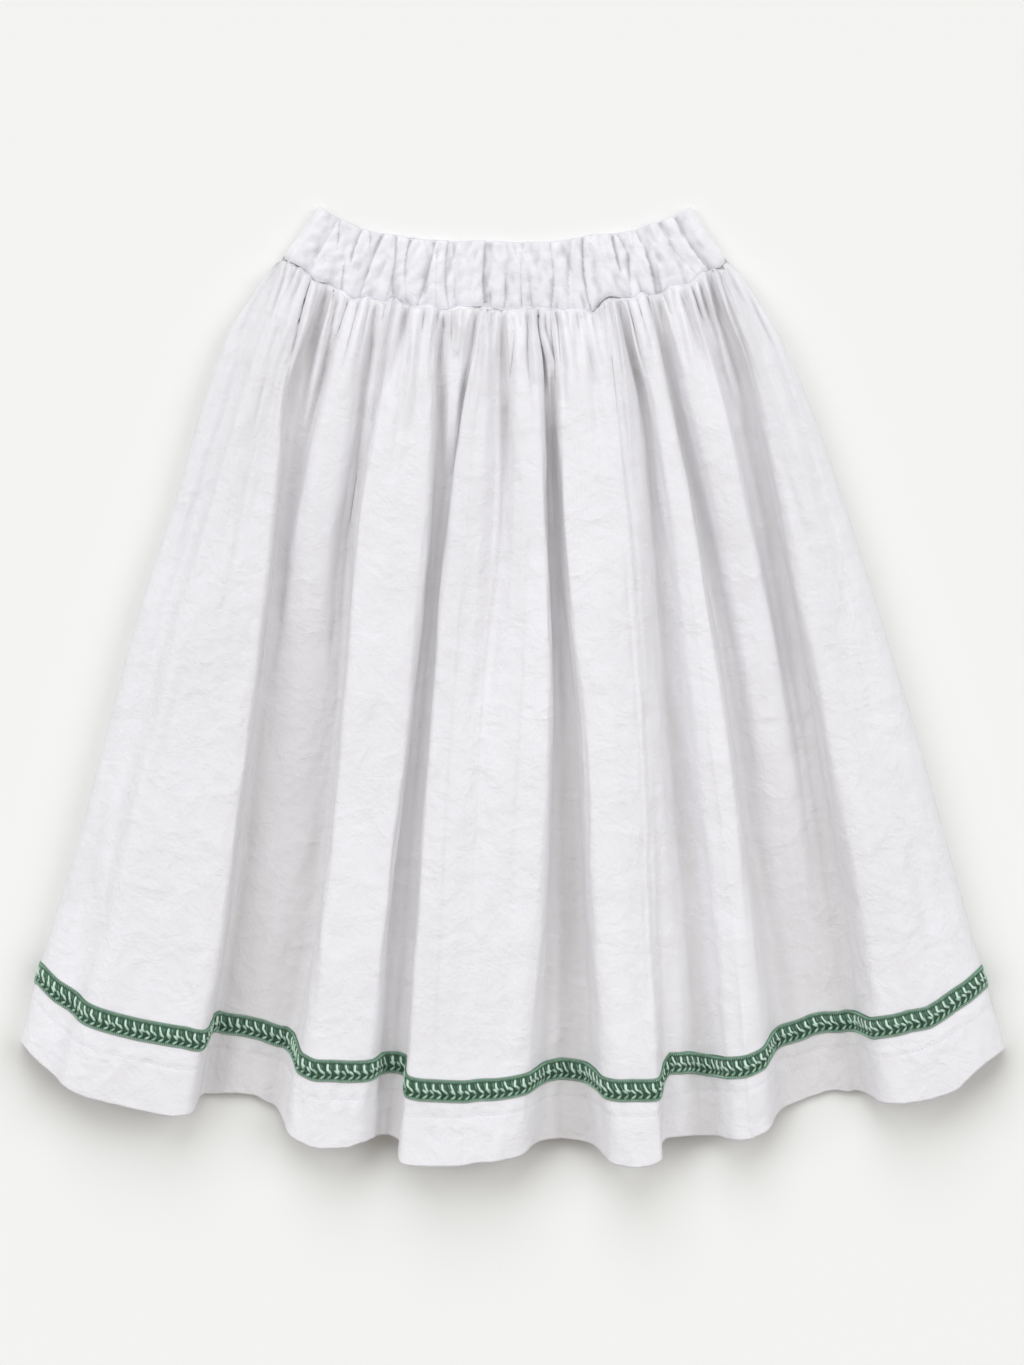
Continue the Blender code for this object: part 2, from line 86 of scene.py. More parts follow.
# Folds, left to right. Their heights in millimetres are read at these drops and their edges
# in degrees at two more under the gathers. Flares move the hem out at a fold's left and
# right end, in millimetres.
STATIONS = (0.0, 0.24, 0.48, 0.77, 1.0)
EDGE_STATIONS = (0.0, 0.06, 0.12, 0.24, 0.48, 0.77, 1.0)
Crest = namedtuple("Crest", "left right height left_flare right_flare")
CRESTS = (
    Crest((-17.9, -17.9, -17.9, -17.8, -17.3, -16.5, -16.3),  # left side
          (-14.5, -14.75, -15.0, -14.1, -12.65, -11.65, -11.4), (32, 36, 42, 46, 46), 1, -4),
    Crest((-12.2, -12.4, -12.6, -12.6, -11.8, -10.8, -10.6),  # left short
          (-10.5, -10.5, -10.4, -10.3, -9.3, -9.3, -9.4), (29, 27, 10.5, 7, 6.6), -23, -21),
    Crest((-8.9, -8.9, -8.8, -9.0, -8.2, -7.8, -8.1),  # left inner
          (-5.2, -4.95, -4.6, -4.45, -4.6, -4.85, -4.85), (32, 37, 42, 46, 47), 5, -1),
    Crest((-1.8, -2.25, -2.75, -3.3, -3.65, -3.65, -3.8),  # middle left
          (-0.2, -0.6, -0.85, -1.0, -1.5, -1.7, -1.7), (30, 36, 44, 50, 52), 10, 10),
    Crest((0.2, 0.5, 0.65, 0.7, -0.4, -0.9, -1.1), (2.7, 3.0, 3.0, 2.9, 2.6, 1.7, 0.95),  # middle right
          (30, 34, 43, 49, 50), 10, 3),
    Crest((4.1, 4.25, 4.0, 3.75, 4.0, 3.75, 3.7), (8.8, 8.7, 8.6, 8.15, 7.4, 6.5, 5.95),  # right inner
          (34, 39, 47, 52, 53), 12, 14),
    Crest((10.1, 10.15, 10.4, 10.2, 9.6, 8.9, 8.4),  # right short
          (12.0, 11.95, 11.9, 11.9, 11.5, 10.8, 10.1), (28, 33, 39, 43, 44), 6, 1),
    Crest((13.15, 13.0, 12.85, 13.0, 12.7, 12.2, 12.1),  # right fading
          (15.35, 15.55, 15.7, 15.4, 14.7, 13.4, 12.9), (28, 33, 20, 8.2, 7), -15, -14),
    Crest((17.2, 17.45, 17.6, 17.15, 16.0, 14.9, 14.0),  # right side
          (18.3, 18.7, 18.9, 19.1, 18.3, 17.4, 17.0), (31, 36, 42, 46, 46), -1, 5),
)
# Valleys between them: floor height, place of the lowest line as a share of the width, how
# far the folds beside it take to round over, the height of a ledge beside the left one as a
# share of the depth, how far the folds' sides lean under them, and where the hem moves
Valley = namedtuple("Valley", "floor lowest left_round right_round ledge under inset")
VALLEYS = (
    Valley((13, 11, 9, 6.8, 6.2), (0.6, 0.5, 0.4, 0.4, 0.4), (4, 3, 3, 4, 7),  # beside the left side
           (5, 6, 16, 26, 26), (0.1, 0.1, 0.1, 0.2, 0.2), (3, 0), -21),
    Valley((14, 10, 8, 6.8, 6.2), (0.3, 0.6, 0.6, 0.6, 0.6), (4, 12, 22, 26, 26),  # left of the left inner
           (4, 4, 4, 6, 22), (0.2, 0.2, 0.2, 0.1, 0.1), (0, 1), -20),
    Valley((14, 15, 21, 23, 21), (0.5, 0.6, 0.5, 0.6, 0.5), (4, 4, 4, 4, 14),  # left of the middle
           (4, 3, 3, 3, 4), (0.1, 0.1, 0.1, 0.1, 0.1), (0, 3.5), -7),
    Valley((14, 21, 38, 48.5, 50.5), (0.7, 0.6, 0.5, 0.5, 0.5), (5, 16, 20, 18, 16),  # in the middle fold
           (4, 8, 20, 18, 16), (0.3, 0.3, 0.3, 0.3, 0.3), (0, 0), 10),
    Valley((16, 14, 21.5, 18.5, 12), (0.6, 0.7, 0.5, 0.5, 0.5), (4, 4, 4, 9, 20),  # right of the middle
           (4, 3, 5, 9, 22), (0.1, 0.2, 0.1, 0.2, 0.2), (0, 0), -3),
    Valley((13, 15, 18, 18, 14), (0.9, 0.72, 0.72, 0.75, 0.75), (4, 5, 6, 6, 3),  # right of the right inner
           (4, 6, 16, 22, 22), (0.95, 0.85, 0.78, 0.66, 0.50), (0, 0), 3),
    Valley((14, 13, 10, 7.4, 6.8), (0.5, 0.4, 0.4, 0.5, 0.5), (4, 3, 4, 9, 24),  # between the short ones
           (5, 12, 20, 22, 22), (0.1, 0.1, 0.1, 0.1, 0.1), (1, 0), -12),
    Valley((13, 10, 8, 6.8, 6.2), (0.6, 0.6, 0.6, 0.6, 0.5), (4, 4, 5, 10, 16),  # beside the right side
           (4, 4, 5, 8, 14), (0.2, 0.2, 0.2, 0.2, 0.2), (0, 0), -11),
)
LEFT_SIDE_FLARE, RIGHT_SIDE_FLARE = -24, -13
LEFT_SHOULDER, RIGHT_SHOULDER = (0.66, 0.70), (0.74, 0.86)  # shares of the outer folds' rise

# How far the hem strays from where those put it, in millimetres outwards at each angle
HEM_STRAYS = (
    (-18.5, 0), (-17.8, -2.6), (-17.1, -2.4), (-16.4, -1.8), (-15.5, 0), (-12.3, 0), (-11.7, -2.0),
    (-11.1, -0.5), (-10.6, -2.5), (-10.0, -4.8), (-9.3, -6.5), (-8.8, -2.5), (-8.0, -3.4), (-7.3, -1.4),
    (-6.6, 1.2), (-5.6, 0), (-5.2, -4.0), (-4.2, -2.5), (-3.7, -1.0), (-3.2, 0), (-2.4, 0), (-1.3, -1.4),
    (-0.5, -1.9), (0.3, -2.2), (0.75, -3.4), (1.05, -6.0), (1.5, -6.4), (2.3, -4.8), (2.9, -4.0),
    (3.45, -2.5), (3.75, -1.0), (4.1, 0), (5.0, 1.2), (5.5, -0.5), (5.9, -4.0), (6.1, -8.0), (6.8, -6.5),
    (7.5, -3.4), (8.9, 0.4), (10.0, -0.7), (11.0, -1.5), (11.7, -4.6), (12.7, -3.0), (13.8, -1.8),
    (14.4, -0.9), (15.4, 0.9), (16.6, 3.8), (17.0, 4.2), (17.3, 2.0), (17.85, -1.3), (18.4, -2.2),
    (19.2, 0),
)

# Middles of the small pleats that the gathering thread draws up under the waistband
GATHERS = (
    -18.1, -17.5, -16.9, -16.2, -15.3, -14.6, -13.9, -12.9, -12.0, -11.0, -10.4, -9.8, -8.9, -8.1, -6.9,
    -5.6, -4.8, -4.2, -3.3, -2.5, -1.7, -1.1, -0.3, 0.9, 2.0, 2.5, 3.7, 4.9, 5.6, 6.4, 7.0, 7.6, 8.4, 9.2,
    9.9, 10.7, 11.4, 12.4, 13.0, 13.6, 14.5, 15.3, 15.9, 16.8, 17.6, 18.4,
)
GATHER_RISE = 0.0095
PUCKERS = np.linspace(-18.3, 18.8, 74) + 0.17 * np.sin(np.arange(74) * 2.3)
PUCKER_RISE = 0.0030  # puckers are finer and shorter than the gathers
GATHER_SWELL, CREASE_SWELL = 0.004, 0.008  # drops over which they swell up from the seam
GATHER_DIP = 0.05  # drop over which the cloth between the gathers comes back up
DITCH = 0.0034  # depth of the seam's groove
DITCH_WIDTH = 0.0035  # as a drop

# Lesser folds (plus) and furrows (minus) that run down from the gathers, and the drag
# lines near the hem: drop, angle, half width and rise in millimetres at places down each
FRONT_CREASES = (
    # left side
    ((0, -18.6, 3, -2), (0.07, -19.4, 5, -4), (0.14, -19.0, 6, -5), (0.24, -18.7, 7, -5),
     (0.36, -18.5, 8, -4), (0.5, -18.3, 8, -3), (0.75, -17.9, 8, -2), (0.92, -17.6, 8, 0)),
    ((0, -17.2, 3, -4), (0.03, -17.1, 3, -4), (0.07, -17.0, 4, -2), (0.14, -16.8, 5, 0)),
    ((0, -15.7, 2, -3), (0.03, -15.6, 2, -4), (0.07, -15.5, 2, -5), (0.12, -15.3, 2, -3),
     (0.19, -15.0, 3, 0)),
    ((0, -13.6, 2, 8), (0.06, -13.6, 3, 10), (0.12, -13.5, 4, 7), (0.20, -13.4, 4, 0)),
    # left inner fold, and beside it
    ((0, -9.4, 5, 9), (0.04, -9.3, 5, 12), (0.12, -9.2, 5, 12), (0.17, -9.2, 4, 7), (0.22, -9.2, 3, 0)),
    ((0, -7.7, 3, -8), (0.035, -7.75, 4, -9), (0.07, -8.0, 4, -6), (0.12, -8.3, 4, -3), (0.18, -8.4, 4, 0)),
    ((0.03, -7.2, 2, 0), (0.07, -7.05, 2, -5), (0.12, -7.1, 2, -3), (0.22, -7.1, 2, 0)),
    ((0, -5.9, 3, -3), (0.05, -5.9, 3, -2), (0.24, -6.2, 6, -1), (0.5, -6.4, 8, -1), (0.7, -6.4, 8, 0)),
    # middle fold, and beside it
    ((0, -3.6, 8, 9), (0.03, -3.4, 8, 13), (0.07, -3.45, 8, 12), (0.12, -3.45, 7, 12), (0.16, -3.4, 6, 9),
     (0.21, -3.5, 4, 0)),
    ((0, -1.2, 3, -4), (0.04, -1.2, 3, -4), (0.08, -1.7, 4, -2), (0.2, -2.2, 5, 0)),
    ((0, 1.0, 2, -4), (0.04, 1.0, 2, -5), (0.07, 0.8, 2, -5), (0.12, 0.55, 3, -7), (0.18, 0.5, 4, -3),
     (0.24, 0.5, 4, 0)),
    ((0, 2.2, 2, -6), (0.03, 2.15, 2, -7), (0.07, 2.1, 3, -7), (0.12, 2.2, 3, -2), (0.17, 2.2, 3, 0)),
    ((0, 3.2, 2, 10), (0.03, 3.2, 2, 10), (0.07, 3.7, 4, 8), (0.12, 3.5, 5, 4), (0.16, 3.5, 4, 0)),
    # right inner fold
    ((0, 4.6, 2, -4), (0.035, 4.7, 2, -4), (0.07, 4.75, 2, -4), (0.10, 4.6, 2, -2), (0.13, 4.5, 2, 0)),
    ((0, 5.8, 2, -5), (0.03, 5.8, 2, -5), (0.07, 5.8, 2, 0)),
    ((0, 6.3, 3, -6), (0.03, 6.45, 3, -9), (0.07, 6.7, 4, -9), (0.12, 6.7, 6, -5), (0.20, 6.8, 8, 0)),
    ((0, 7.7, 2, -4), (0.03, 7.7, 2, -4), (0.06, 7.7, 2, 0)),
    ((0.30, 7.3, 3, -1), (0.50, 6.9, 3, -2), (0.8, 6.0, 3, -1), (0.9, 5.8, 3, 0)),
    # right fading fold
    ((0, 14.5, 2, -7), (0.03, 14.65, 3, -8), (0.07, 14.75, 3, -6), (0.12, 14.8, 4, -2), (0.16, 14.8, 4, 0)),
    # right side
    ((0, 15.9, 2, 5), (0.03, 15.9, 2, 6), (0.06, 15.9, 2, 0)),
    ((0, 16.55, 3, 7), (0.03, 16.6, 3, 9), (0.07, 16.7, 3, 8), (0.12, 16.6, 4, 5), (0.18, 16.7, 4, 0)),
    ((0, 18.4, 3, -3), (0.03, 18.8, 3, -5), (0.07, 19.3, 3, -3), (0.12, 19.3, 4, -2), (0.22, 19.4, 4, 0)),
    ((0.02, 19.4, 2, 0), (0.07, 19.8, 2, -5), (0.12, 20.0, 3, -4), (0.24, 20.0, 3, -4), (0.36, 19.5, 4, -3),
     (0.5, 19.5, 4, 0)),
    # drag lines near the hem
    ((0.66, -17.8, 5, 0), (0.76, -17.2, 5, 2), (0.88, -16.4, 5, 0)),
    ((0.72, -18.2, 4, 0), (0.82, -17.5, 4, -2), (0.90, -16.9, 4, 0)),
    ((0.70, -15.7, 5, 0), (0.82, -15.0, 5, -1), (0.91, -14.5, 5, 0)),
    ((0.68, 18.3, 5, 0), (0.79, 17.9, 5, -2), (0.89, 17.1, 5, 0)),
)
TRIM_WIDTH = 0.0180
TRIM_ABOVE_HEM = 0.0530
TRIM_FOOT = 1 - TRIM_ABOVE_HEM / DROP_LENGTH
TRIM_TOP = TRIM_FOOT - TRIM_WIDTH / DROP_LENGTH
STITCHING_BELOW_TRIM = 0.0130
HEM_STITCHING = TRIM_FOOT + STITCHING_BELOW_TRIM / DROP_LENGTH
TUCKED = 0.0020  # cloth that goes on above the seam line, under the waistband
SEWN_LINES = (  # drop, closest rows there, and how far they take to widen
    (0.0, 0.0011, 0.150), (HEM_STITCHING, 0.0012, 0.020), (1.0, 0.0012, 0.020),
)
COTTON_LIGHT = (0.835, 0.830, 0.856, 1.0)
COTTON_SHADE = (0.795, 0.789, 0.812, 1.0)
# Painted shade: the cotton is darkened towards this colour where it lies deep in furrows and valleys.
COTTON_PAINTED_SHADE = (0.560, 0.540, 0.515, 1.0)  # painted shade: the colour laid deep in the narrow furrows between gathers
PAINTED_SHADE_STEP = 0.0012  # between the places where depth is read for the painted shade
PAINTED_SHADE_REACHES = ((3, 0.0050), (36, 0.026), (80, 0.022))  # in those steps, and the full depth, which gets the full painted shade
FRONT_RIPPLES = (  # height, size across and along, and seed
    (0.0011, 0.085, 0.21, 21), (0.00042, 0.022, 0.10, 22), (0.00016, 0.009, 0.05, 23),
)
RIPPLE_WAVES = 28


def hermite(t, start, leave, end, arrive):
    """A smooth run from start to end with those slopes at the two, for t from 0 to 1."""
    return (
        (2 * t**3 - 3 * t**2 + 1) * start + (t**3 - 2 * t**2 + t) * leave
        + (3 * t**2 - 2 * t**3) * end + (t**3 - t**2) * arrive
    )


def smooth(knots, values, where):
    """Read values off a smooth curve through a few knots."""
    knots, values = np.asarray(knots, float), np.asarray(values, float)
    slopes = np.gradient(values, knots)
    span = np.clip(np.searchsorted(knots, where, side="right") - 1, 0, len(knots) - 2)
    width = knots[span + 1] - knots[span]
    t = np.clip((where - knots[span]) / width, 0.0, 1.0)
    leave, arrive = slopes[span] * width, slopes[span + 1] * width
    return hermite(t, values[span], leave, values[span + 1], arrive)


def station(values, drop):
    return smooth(STATIONS, values, drop)


def side_angles(drop):
    drops, lefts, rights = zip(*SIDES)
    return smooth(drops, lefts, drop), smooth(drops, rights, drop)


def radius_at(drop):
    return SEAM_RADIUS + drop * DROP_LENGTH


def degrees_of(length, drop):
    """An arc's length across the fan, as an angle at that drop."""
    return math.degrees(length / radius_at(drop))


def billowed(heights, drop):
    """A height at a drop, from millimetres at the stations, swelling up from the seam."""
    height = station(heights, drop) / 1000
    return SEAM_HEIGHT + (height - SEAM_HEIGHT) * (1 - math.exp(-drop / BILLOW))


def fold_side(drop, edge, way, top, floor, rounding, under, room, flares):
    """Four points from a fold's top, over its edge and down its side to the foot.

    way is 1 for its right side and -1 for its left; room is the fold's own width and the
    valley's, and flares those of this edge, of the fold's other edge and of the valley.
    """
    depth = top - floor
    over = way * min(degrees_of(station(rounding, drop) / 1000, drop), 0.42 * room[0])
    beyond = way * min(abs(over), 0.5 * room[1])
    lean = way * degrees_of(under / 1000, drop) * min(drop / STATIONS[1], 1.0)
    near, far, valley = flares
    crest = near + (far - near) * abs(over) / room[0]
    return [
        (edge - over, top - 0.03 * depth, crest),
        (edge - 0.3 * over, top - 0.15 * depth, 0.82 * crest + 0.18 * valley),
        (edge + 0.1 * beyond - 0.4 * lean, floor + 0.55 * depth, 0.45 * crest + 0.55 * valley),
        (edge + 0.6 * beyond - lean, floor + 0.10 * depth, 0.15 * crest + 0.85 * valley),
    ]


def side_points(edge, crest, top, flare, shoulder):
    """Points from a side seam, straight up and over the skirt's rounded side to a fold."""
    foot = SIDE_SEAM_HEIGHT
    rise = top - foot
    slope = crest - edge
    return [
        (edge, foot, flare),
        (edge, foot + min(0.3 * rise, 0.005), flare),
        (edge + 0.10 * slope, foot + 0.50 * rise, flare),
        (edge + 0.42 * slope, foot + shoulder[0] * rise, 0.6 * flare),
        (edge + 0.80 * slope, foot + shoulder[1] * rise, 0.3 * flare),
        (crest + 0.06 * slope, foot + 0.97 * rise, 0.1 * flare),
    ]


def front_section(drop):
    """Angle, height and hem flare across the front, left side seam to right."""
    left_edge, right_edge = side_angles(drop)
    lefts = [smooth(EDGE_STATIONS, crest.left, drop) for crest in CRESTS]
    rights = [smooth(EDGE_STATIONS, crest.right, drop) for crest in CRESTS]
    tops = [billowed(crest.height, drop) for crest in CRESTS]
    points = side_points(left_edge, lefts[0], tops[0], LEFT_SIDE_FLARE, LEFT_SHOULDER)
    for number, crest in enumerate(CRESTS):
        width = rights[number] - lefts[number]
        middle = lefts[number] + 0.5 * width
        points.append((middle, tops[number], (crest.left_flare + crest.right_flare) / 2))
        if crest is CRESTS[-1]:
            break
        valley, after = VALLEYS[number], CRESTS[number + 1]
        floor = billowed(valley.floor, drop)
        gap = lefts[number + 1] - rights[number]
        left_side = fold_side(
            drop, rights[number], 1, tops[number], floor, valley.left_round, valley.under[0],
            (width, gap), (crest.right_flare, crest.left_flare, valley.inset),
        )
        width = rights[number + 1] - lefts[number + 1]
        right_side = fold_side(
            drop, lefts[number + 1], -1, tops[number + 1], floor, valley.right_round, valley.under[1],
            (width, gap), (after.left_flare, after.right_flare, valley.inset),
        )[::-1]
        start, end = left_side[-1][0], right_side[0][0]
        lowest = start + station(valley.lowest, drop) * (end - start)
        ledge = station(valley.ledge, drop)
        depth = tops[number] - floor
        flank = (left_side[2][0], floor + max(0.55, 0.5 + 0.42 * ledge) * depth, left_side[2][2])
        points += [*left_side[:2], flank]
        points.append((start, floor + max(ledge, 0.10) * depth, left_side[3][2]))
        points.append(((start + lowest) / 2, floor + 0.66 * ledge * depth, valley.inset))
        points.append((lowest, floor, valley.inset))
        points += right_side
    points += side_points(right_edge, rights[-1], tops[-1], RIGHT_SIDE_FLARE, RIGHT_SHOULDER)[::-1]
    return np.array(points)


def curve_through(points, drop, counts):
    """A centripetal curve through a section's points, with that many places on each span."""
    scale = math.radians(1) * radius_at(drop)
    knots = points * (scale, 1.0, 1.0)
    knots = np.vstack((2 * knots[0] - knots[1], knots, 2 * knots[-1] - knots[-2]))
    times = np.sqrt(np.maximum(np.hypot(*np.diff(knots[:, :2], axis=0).T), 1e-6))
    pieces = []
    for number, count in enumerate(counts):
        before, start, end, after = knots[number:number + 4]
        a, b, c = times[number:number + 3]
        leave = ((start - before) / a - (end - before) / (a + b) + (end - start) / b) * b
        arrive = ((end - start) / b - (after - start) / (b + c) + (after - end) / c) * b
        pieces.append(hermite((np.arange(count) / count)[:, None], start, leave, end, arrive))
    return np.vstack(pieces + [knots[-2:-1]]) / (scale, 1.0, 1.0)


def span_counts(section_at, widths):
    """How many columns each span of a section gets, an even number in all."""
    needed = 2.0
    for drop, width in widths:
        points = section_at(drop)
        across = np.radians(np.diff(points[:, 0])) * radius_at(drop)
        needed = np.maximum(needed, np.hypot(across, np.diff(points[:, 1])) / width)
    counts = np.ceil(needed).astype(int)
    counts[np.argmax(counts)] += counts.sum() % 2
    return counts


def row_drops(rows, widest, lines):
    """Drops of a panel's rows: even, but close together beside its sewn lines."""
    along = np.linspace(-TUCKED, DROP_LENGTH, 4000)
    pace = np.full_like(along, widest)
    for line, finest, easing in lines:
        away = np.abs(along - line * DROP_LENGTH) / easing
        pace = np.minimum(pace, finest + (widest - finest) * away)
    counted = np.concatenate(([0.0], np.cumsum(np.diff(along) / pace[1:])))
    return np.interp(np.linspace(0.0, counted[-1], rows + 1), counted, along) / DROP_LENGTH


def place(angles, radii, heights):
    rays = np.radians(angles)
    return np.stack((APEX_X + radii * np.sin(rays), APEX_Y - radii * np.cos(rays), heights), -1)


def seam_radius(angles):
    return SEAM_RADIUS + smooth(*zip(*SEAM_EDGE), angles) / 1000


def laid_out(section_at, drops, counts):
    """World places and fan angles of a panel's rows and columns, before the fine relief."""
    grid, angles = [], []
    for drop in drops:
        section = curve_through(section_at(drop), drop, counts)
        waves = (seam_radius(section[:, 0]) - SEAM_RADIUS) * math.exp(-max(drop, 0) / SEAM_FADE)
        radii = SEAM_RADIUS + waves + drop * (DROP_LENGTH + section[:, 2] / 1000)
        grid.append(place(section[:, 0], radii, section[:, 1]))
        angles.append(section[:, 0])
    return np.array(grid), np.array(angles)


def panel(section_at, columns, rows, widest, flat):
    """A panel's bare grid and fan angles, its rows' drops, and its places on the flat cut."""
    row_at = row_drops(rows, widest, SEWN_LINES)
    base, angles = laid_out(section_at, row_at, span_counts(section_at, columns))
    share = lengths_along(base[-1])
    share /= share[-1]
    return base, angles, row_at, share, share * flat[0], (row_at * DROP_LENGTH)[:, None]


def outward(grid):
    """Unit normals of a grid of points, away from the cloth's inner side."""
    normals = np.cross(np.gradient(grid, axis=0), np.gradient(grid, axis=1))
    return normals / np.maximum(np.linalg.norm(normals, axis=2, keepdims=True), 1e-12)


def lengths_along(row):
    steps = np.linalg.norm(np.diff(row, axis=0), axis=1)
    return np.concatenate(([0.0], np.cumsum(steps)))


def ripples(u, v, across, along, seed):
    """Smooth chance relief of about that size across and along, mostly from -1 to 1."""
    chance = np.random.default_rng(seed)
    turns = chance.uniform(0, 2 * math.pi, RIPPLE_WAVES)
    sizes = chance.uniform(0.55, 1.45, RIPPLE_WAVES)
    starts = chance.uniform(0, 2 * math.pi, RIPPLE_WAVES)
    relief = np.zeros(np.broadcast(u, v).shape)
    for turn, size, start in zip(turns, sizes, starts):
        wave = math.cos(turn) * u / across + math.sin(turn) * v / along
        relief += np.cos(2 * math.pi * size * wave + start)
    return relief / math.sqrt(RIPPLE_WAVES)


def gathered(angles, drops, middles, seed, rise, lengths=(0.05, 0.15), slant=3.0):
    """Relief of the small pleats under a gathered seam: round tops, sharp valleys."""
    chance = np.random.default_rng(seed)
    relief = np.zeros_like(angles)
    for middle, room in zip(middles, np.gradient(np.asarray(middles))):
        size, wide = chance.uniform(0.45, 1.2), chance.uniform(0.46, 0.60)
        length, lean = chance.uniform(*lengths), chance.uniform(-slant, slant)
        centre = middle + lean * np.clip(drops, 0.0, 0.12)
        width = abs(room) * wide * (1 + 2.5 * np.maximum(drops, 0.0))
        fade = np.clip(1 - drops / length, 0.0, 1.0) ** 0.8
        swell = 1 - np.exp(-(drops + 0.0012) / GATHER_SWELL)
        bump = np.maximum(1 - ((angles - centre) / width) ** 2, 0.0)
        relief = np.maximum(relief, rise * size * fade * swell * bump)
    return relief


def dying(drops, over):
    """What is left at a drop of something that dies out below the waist seam."""
    return np.exp(-np.maximum(drops, 0.0) / over)


def creased(angles, drops, creases):
    """Relief of lesser folds and furrows, nothing beyond their ends."""
    relief = np.zeros_like(angles)
    for path in creases:
        at, middles, halves, rises = zip(*path)
        aside = np.radians(angles - smooth(at, middles, drops))
        aside *= 1000 * radius_at(drops) / np.interp(drops, at, halves)
        rise = np.interp(drops, at, rises, left=0.0, right=0.0) / 1000
        rise *= 1 - dying(drops, CREASE_SWELL)
        folds, furrows = np.exp(-(aside**4)), np.exp(-np.abs(aside) ** 1.5)
        relief += rise * np.where(rise > 0, folds, furrows)
    return relief


def beside(drops, line, reach):
    """How near a place is to a sewn line: 1 on it, 0 well away from it."""
    return np.exp(-(((drops - line) * DROP_LENGTH / reach) ** 2))


def between_points(coarse):
    """A grid with a point added halfway between each two."""
    fine = np.empty((2 * coarse.shape[0] - 1, 2 * coarse.shape[1] - 1, 3))
    fine[::2, ::2] = coarse
    fine[1::2, ::2] = (coarse[:-1] + coarse[1:]) / 2
    fine[:, 1::2] = (fine[:, :-1:2] + fine[:, 2::2]) / 2
    return fine


def inner_side(outer, thickness):
    """The wall's inner points, half as many, clear of every dip of the outer ones."""
    rows, columns = outer.shape[:2]
    normals = outward(outer)
    way = math.copysign(1.0, normals[..., 2].mean())
    needed = 0.6 * thickness * way * normals[..., 2]
    inner = (outer - thickness[..., None] * normals)[::2, ::2]
    for _ in range(3):
        gap = way * (outer - between_points(inner))[..., 2]
        lacking = np.pad(np.maximum(needed - gap, 0.0), 1)
        inner[..., 2] -= way * np.maximum.reduce(
            [lacking[r:r + rows, c:c + columns] for r in range(3) for c in range(3)]
        )[::2, ::2]
    inner[..., 2] = np.maximum(inner[..., 2], CLEARANCE)
    return inner


def quads(index):
    """The faces of a grid of point numbers."""
    corners = (index[:-1, :-1], index[1:, :-1], index[1:, 1:], index[:-1, 1:])
    return np.stack(corners, -1).reshape(-1, 4).tolist()


def painted_furrow_shade(grid, along):
    """Painted shade for each point, from 0 to 1: how deep it lies in a narrow furrow, and less so in a
    valley.
    """
    furrows = []
    for row, down in zip(grid, along.ravel()):
        narrow = 1.0 - 0.6 * min(max(down, 0.0) / 0.15, 1.0)
        wide = 0.18 + 0.13 * min(max(down - 0.28, 0.0) / 0.2, 1.0)
        across = lengths_along(row)
        even = np.linspace(0.0, across[-1], int(across[-1] / PAINTED_SHADE_STEP))
        height = np.interp(even, across, row[:, 2])
        depth = 0.0
        for (reach, deep), share in zip(PAINTED_SHADE_REACHES, (narrow, 0.26, wide)):
            spread = np.exp(-np.linspace(-2.0, 2.0, 4 * reach + 1) ** 2 / 2)
            around = np.convolve(np.pad(height, 2 * reach, mode="edge"), spread / spread.sum(), "valid")
            depth = depth + share * np.clip((around - height) / deep, 0.0, 1.0)
        furrows.append(np.interp(across, even, depth))
    return np.clip(np.array(furrows), 0.0, 1.0)


def shell(name, outer, thickness, across, along, look):
    """A closed shell of cloth: a fine outer side, an inner side half as fine, and a rim.

    thickness is the wall for each row; across and along are the UV map, in metres.
    """
    # Painted shade: the outer side is darkened by how deep it lies, the inner side evenly by half.
    furrows = painted_furrow_shade(outer, along)
    inner = inner_side(outer, thickness[:, None])
    o = np.arange(outer.shape[0] * outer.shape[1]).reshape(outer.shape[:2])
    i = o.size + np.arange(inner.shape[0] * inner.shape[1]).reshape(inner.shape[:2])
    faces = quads(o) + [(a, d, c, b) for a, b, c, d in quads(i)]
    for fine, coarse in (
        (o[0, ::-1], i[0, ::-1]), (o[-1], i[-1]), (o[:, 0], i[:, 0]), (o[::-1, -1], i[::-1, -1])
    ):
        for number in range(len(coarse) - 1):
            a, b, c = fine[2 * number:2 * number + 3].tolist()
            d, e = coarse[number:number + 2].tolist()
            faces += [(b, a, d), (b, d, e), (c, b, e)]
    uv = np.stack(np.broadcast_arrays(across, along), -1)
    return cloth_mesh(
        name,
        np.vstack((outer.reshape(-1, 3), inner.reshape(-1, 3))),
        faces,
        np.vstack((uv.reshape(-1, 2), uv[::2, ::2].reshape(-1, 2))),
        np.concatenate((furrows.ravel(), 0.5 + 0.0 * furrows[::2, ::2].ravel())),
        look,
    )


def in_scene(name, data):
    """A new object in the scene."""
    made = bpy.data.objects.new(name, data)
    bpy.context.scene.collection.objects.link(made)
    return made


def cloth_mesh(name, points, faces, uv, furrows, look):
    """A smooth piece of cloth in the scene, with its UV map and its painted shade, from how furrowed it is.
    """
    mesh = bpy.data.meshes.new(name)
    mesh.from_pydata(points.tolist(), [], faces)
    mesh.materials.append(look)
    mesh.shade_smooth()
    corners = np.zeros(len(mesh.loops), np.int32)
    mesh.loops.foreach_get("vertex_index", corners)
    mesh.uv_layers.new(name="cloth").data.foreach_set("uv", uv[corners].astype("f").ravel())
    # painted shade: how far each point is darkened for lying in a furrow
    mesh.attributes.new("painted_shade", "FLOAT", "POINT").data.foreach_set("value", furrows)
    return in_scene(name, mesh)


def linear(red, green, blue):
    """A colour's screen values, 0 to 255, as a shader's linear ones."""
    return (*(((value / 255 + 0.055) / 1.055) ** 2.4 for value in (red, green, blue)), 1.0)


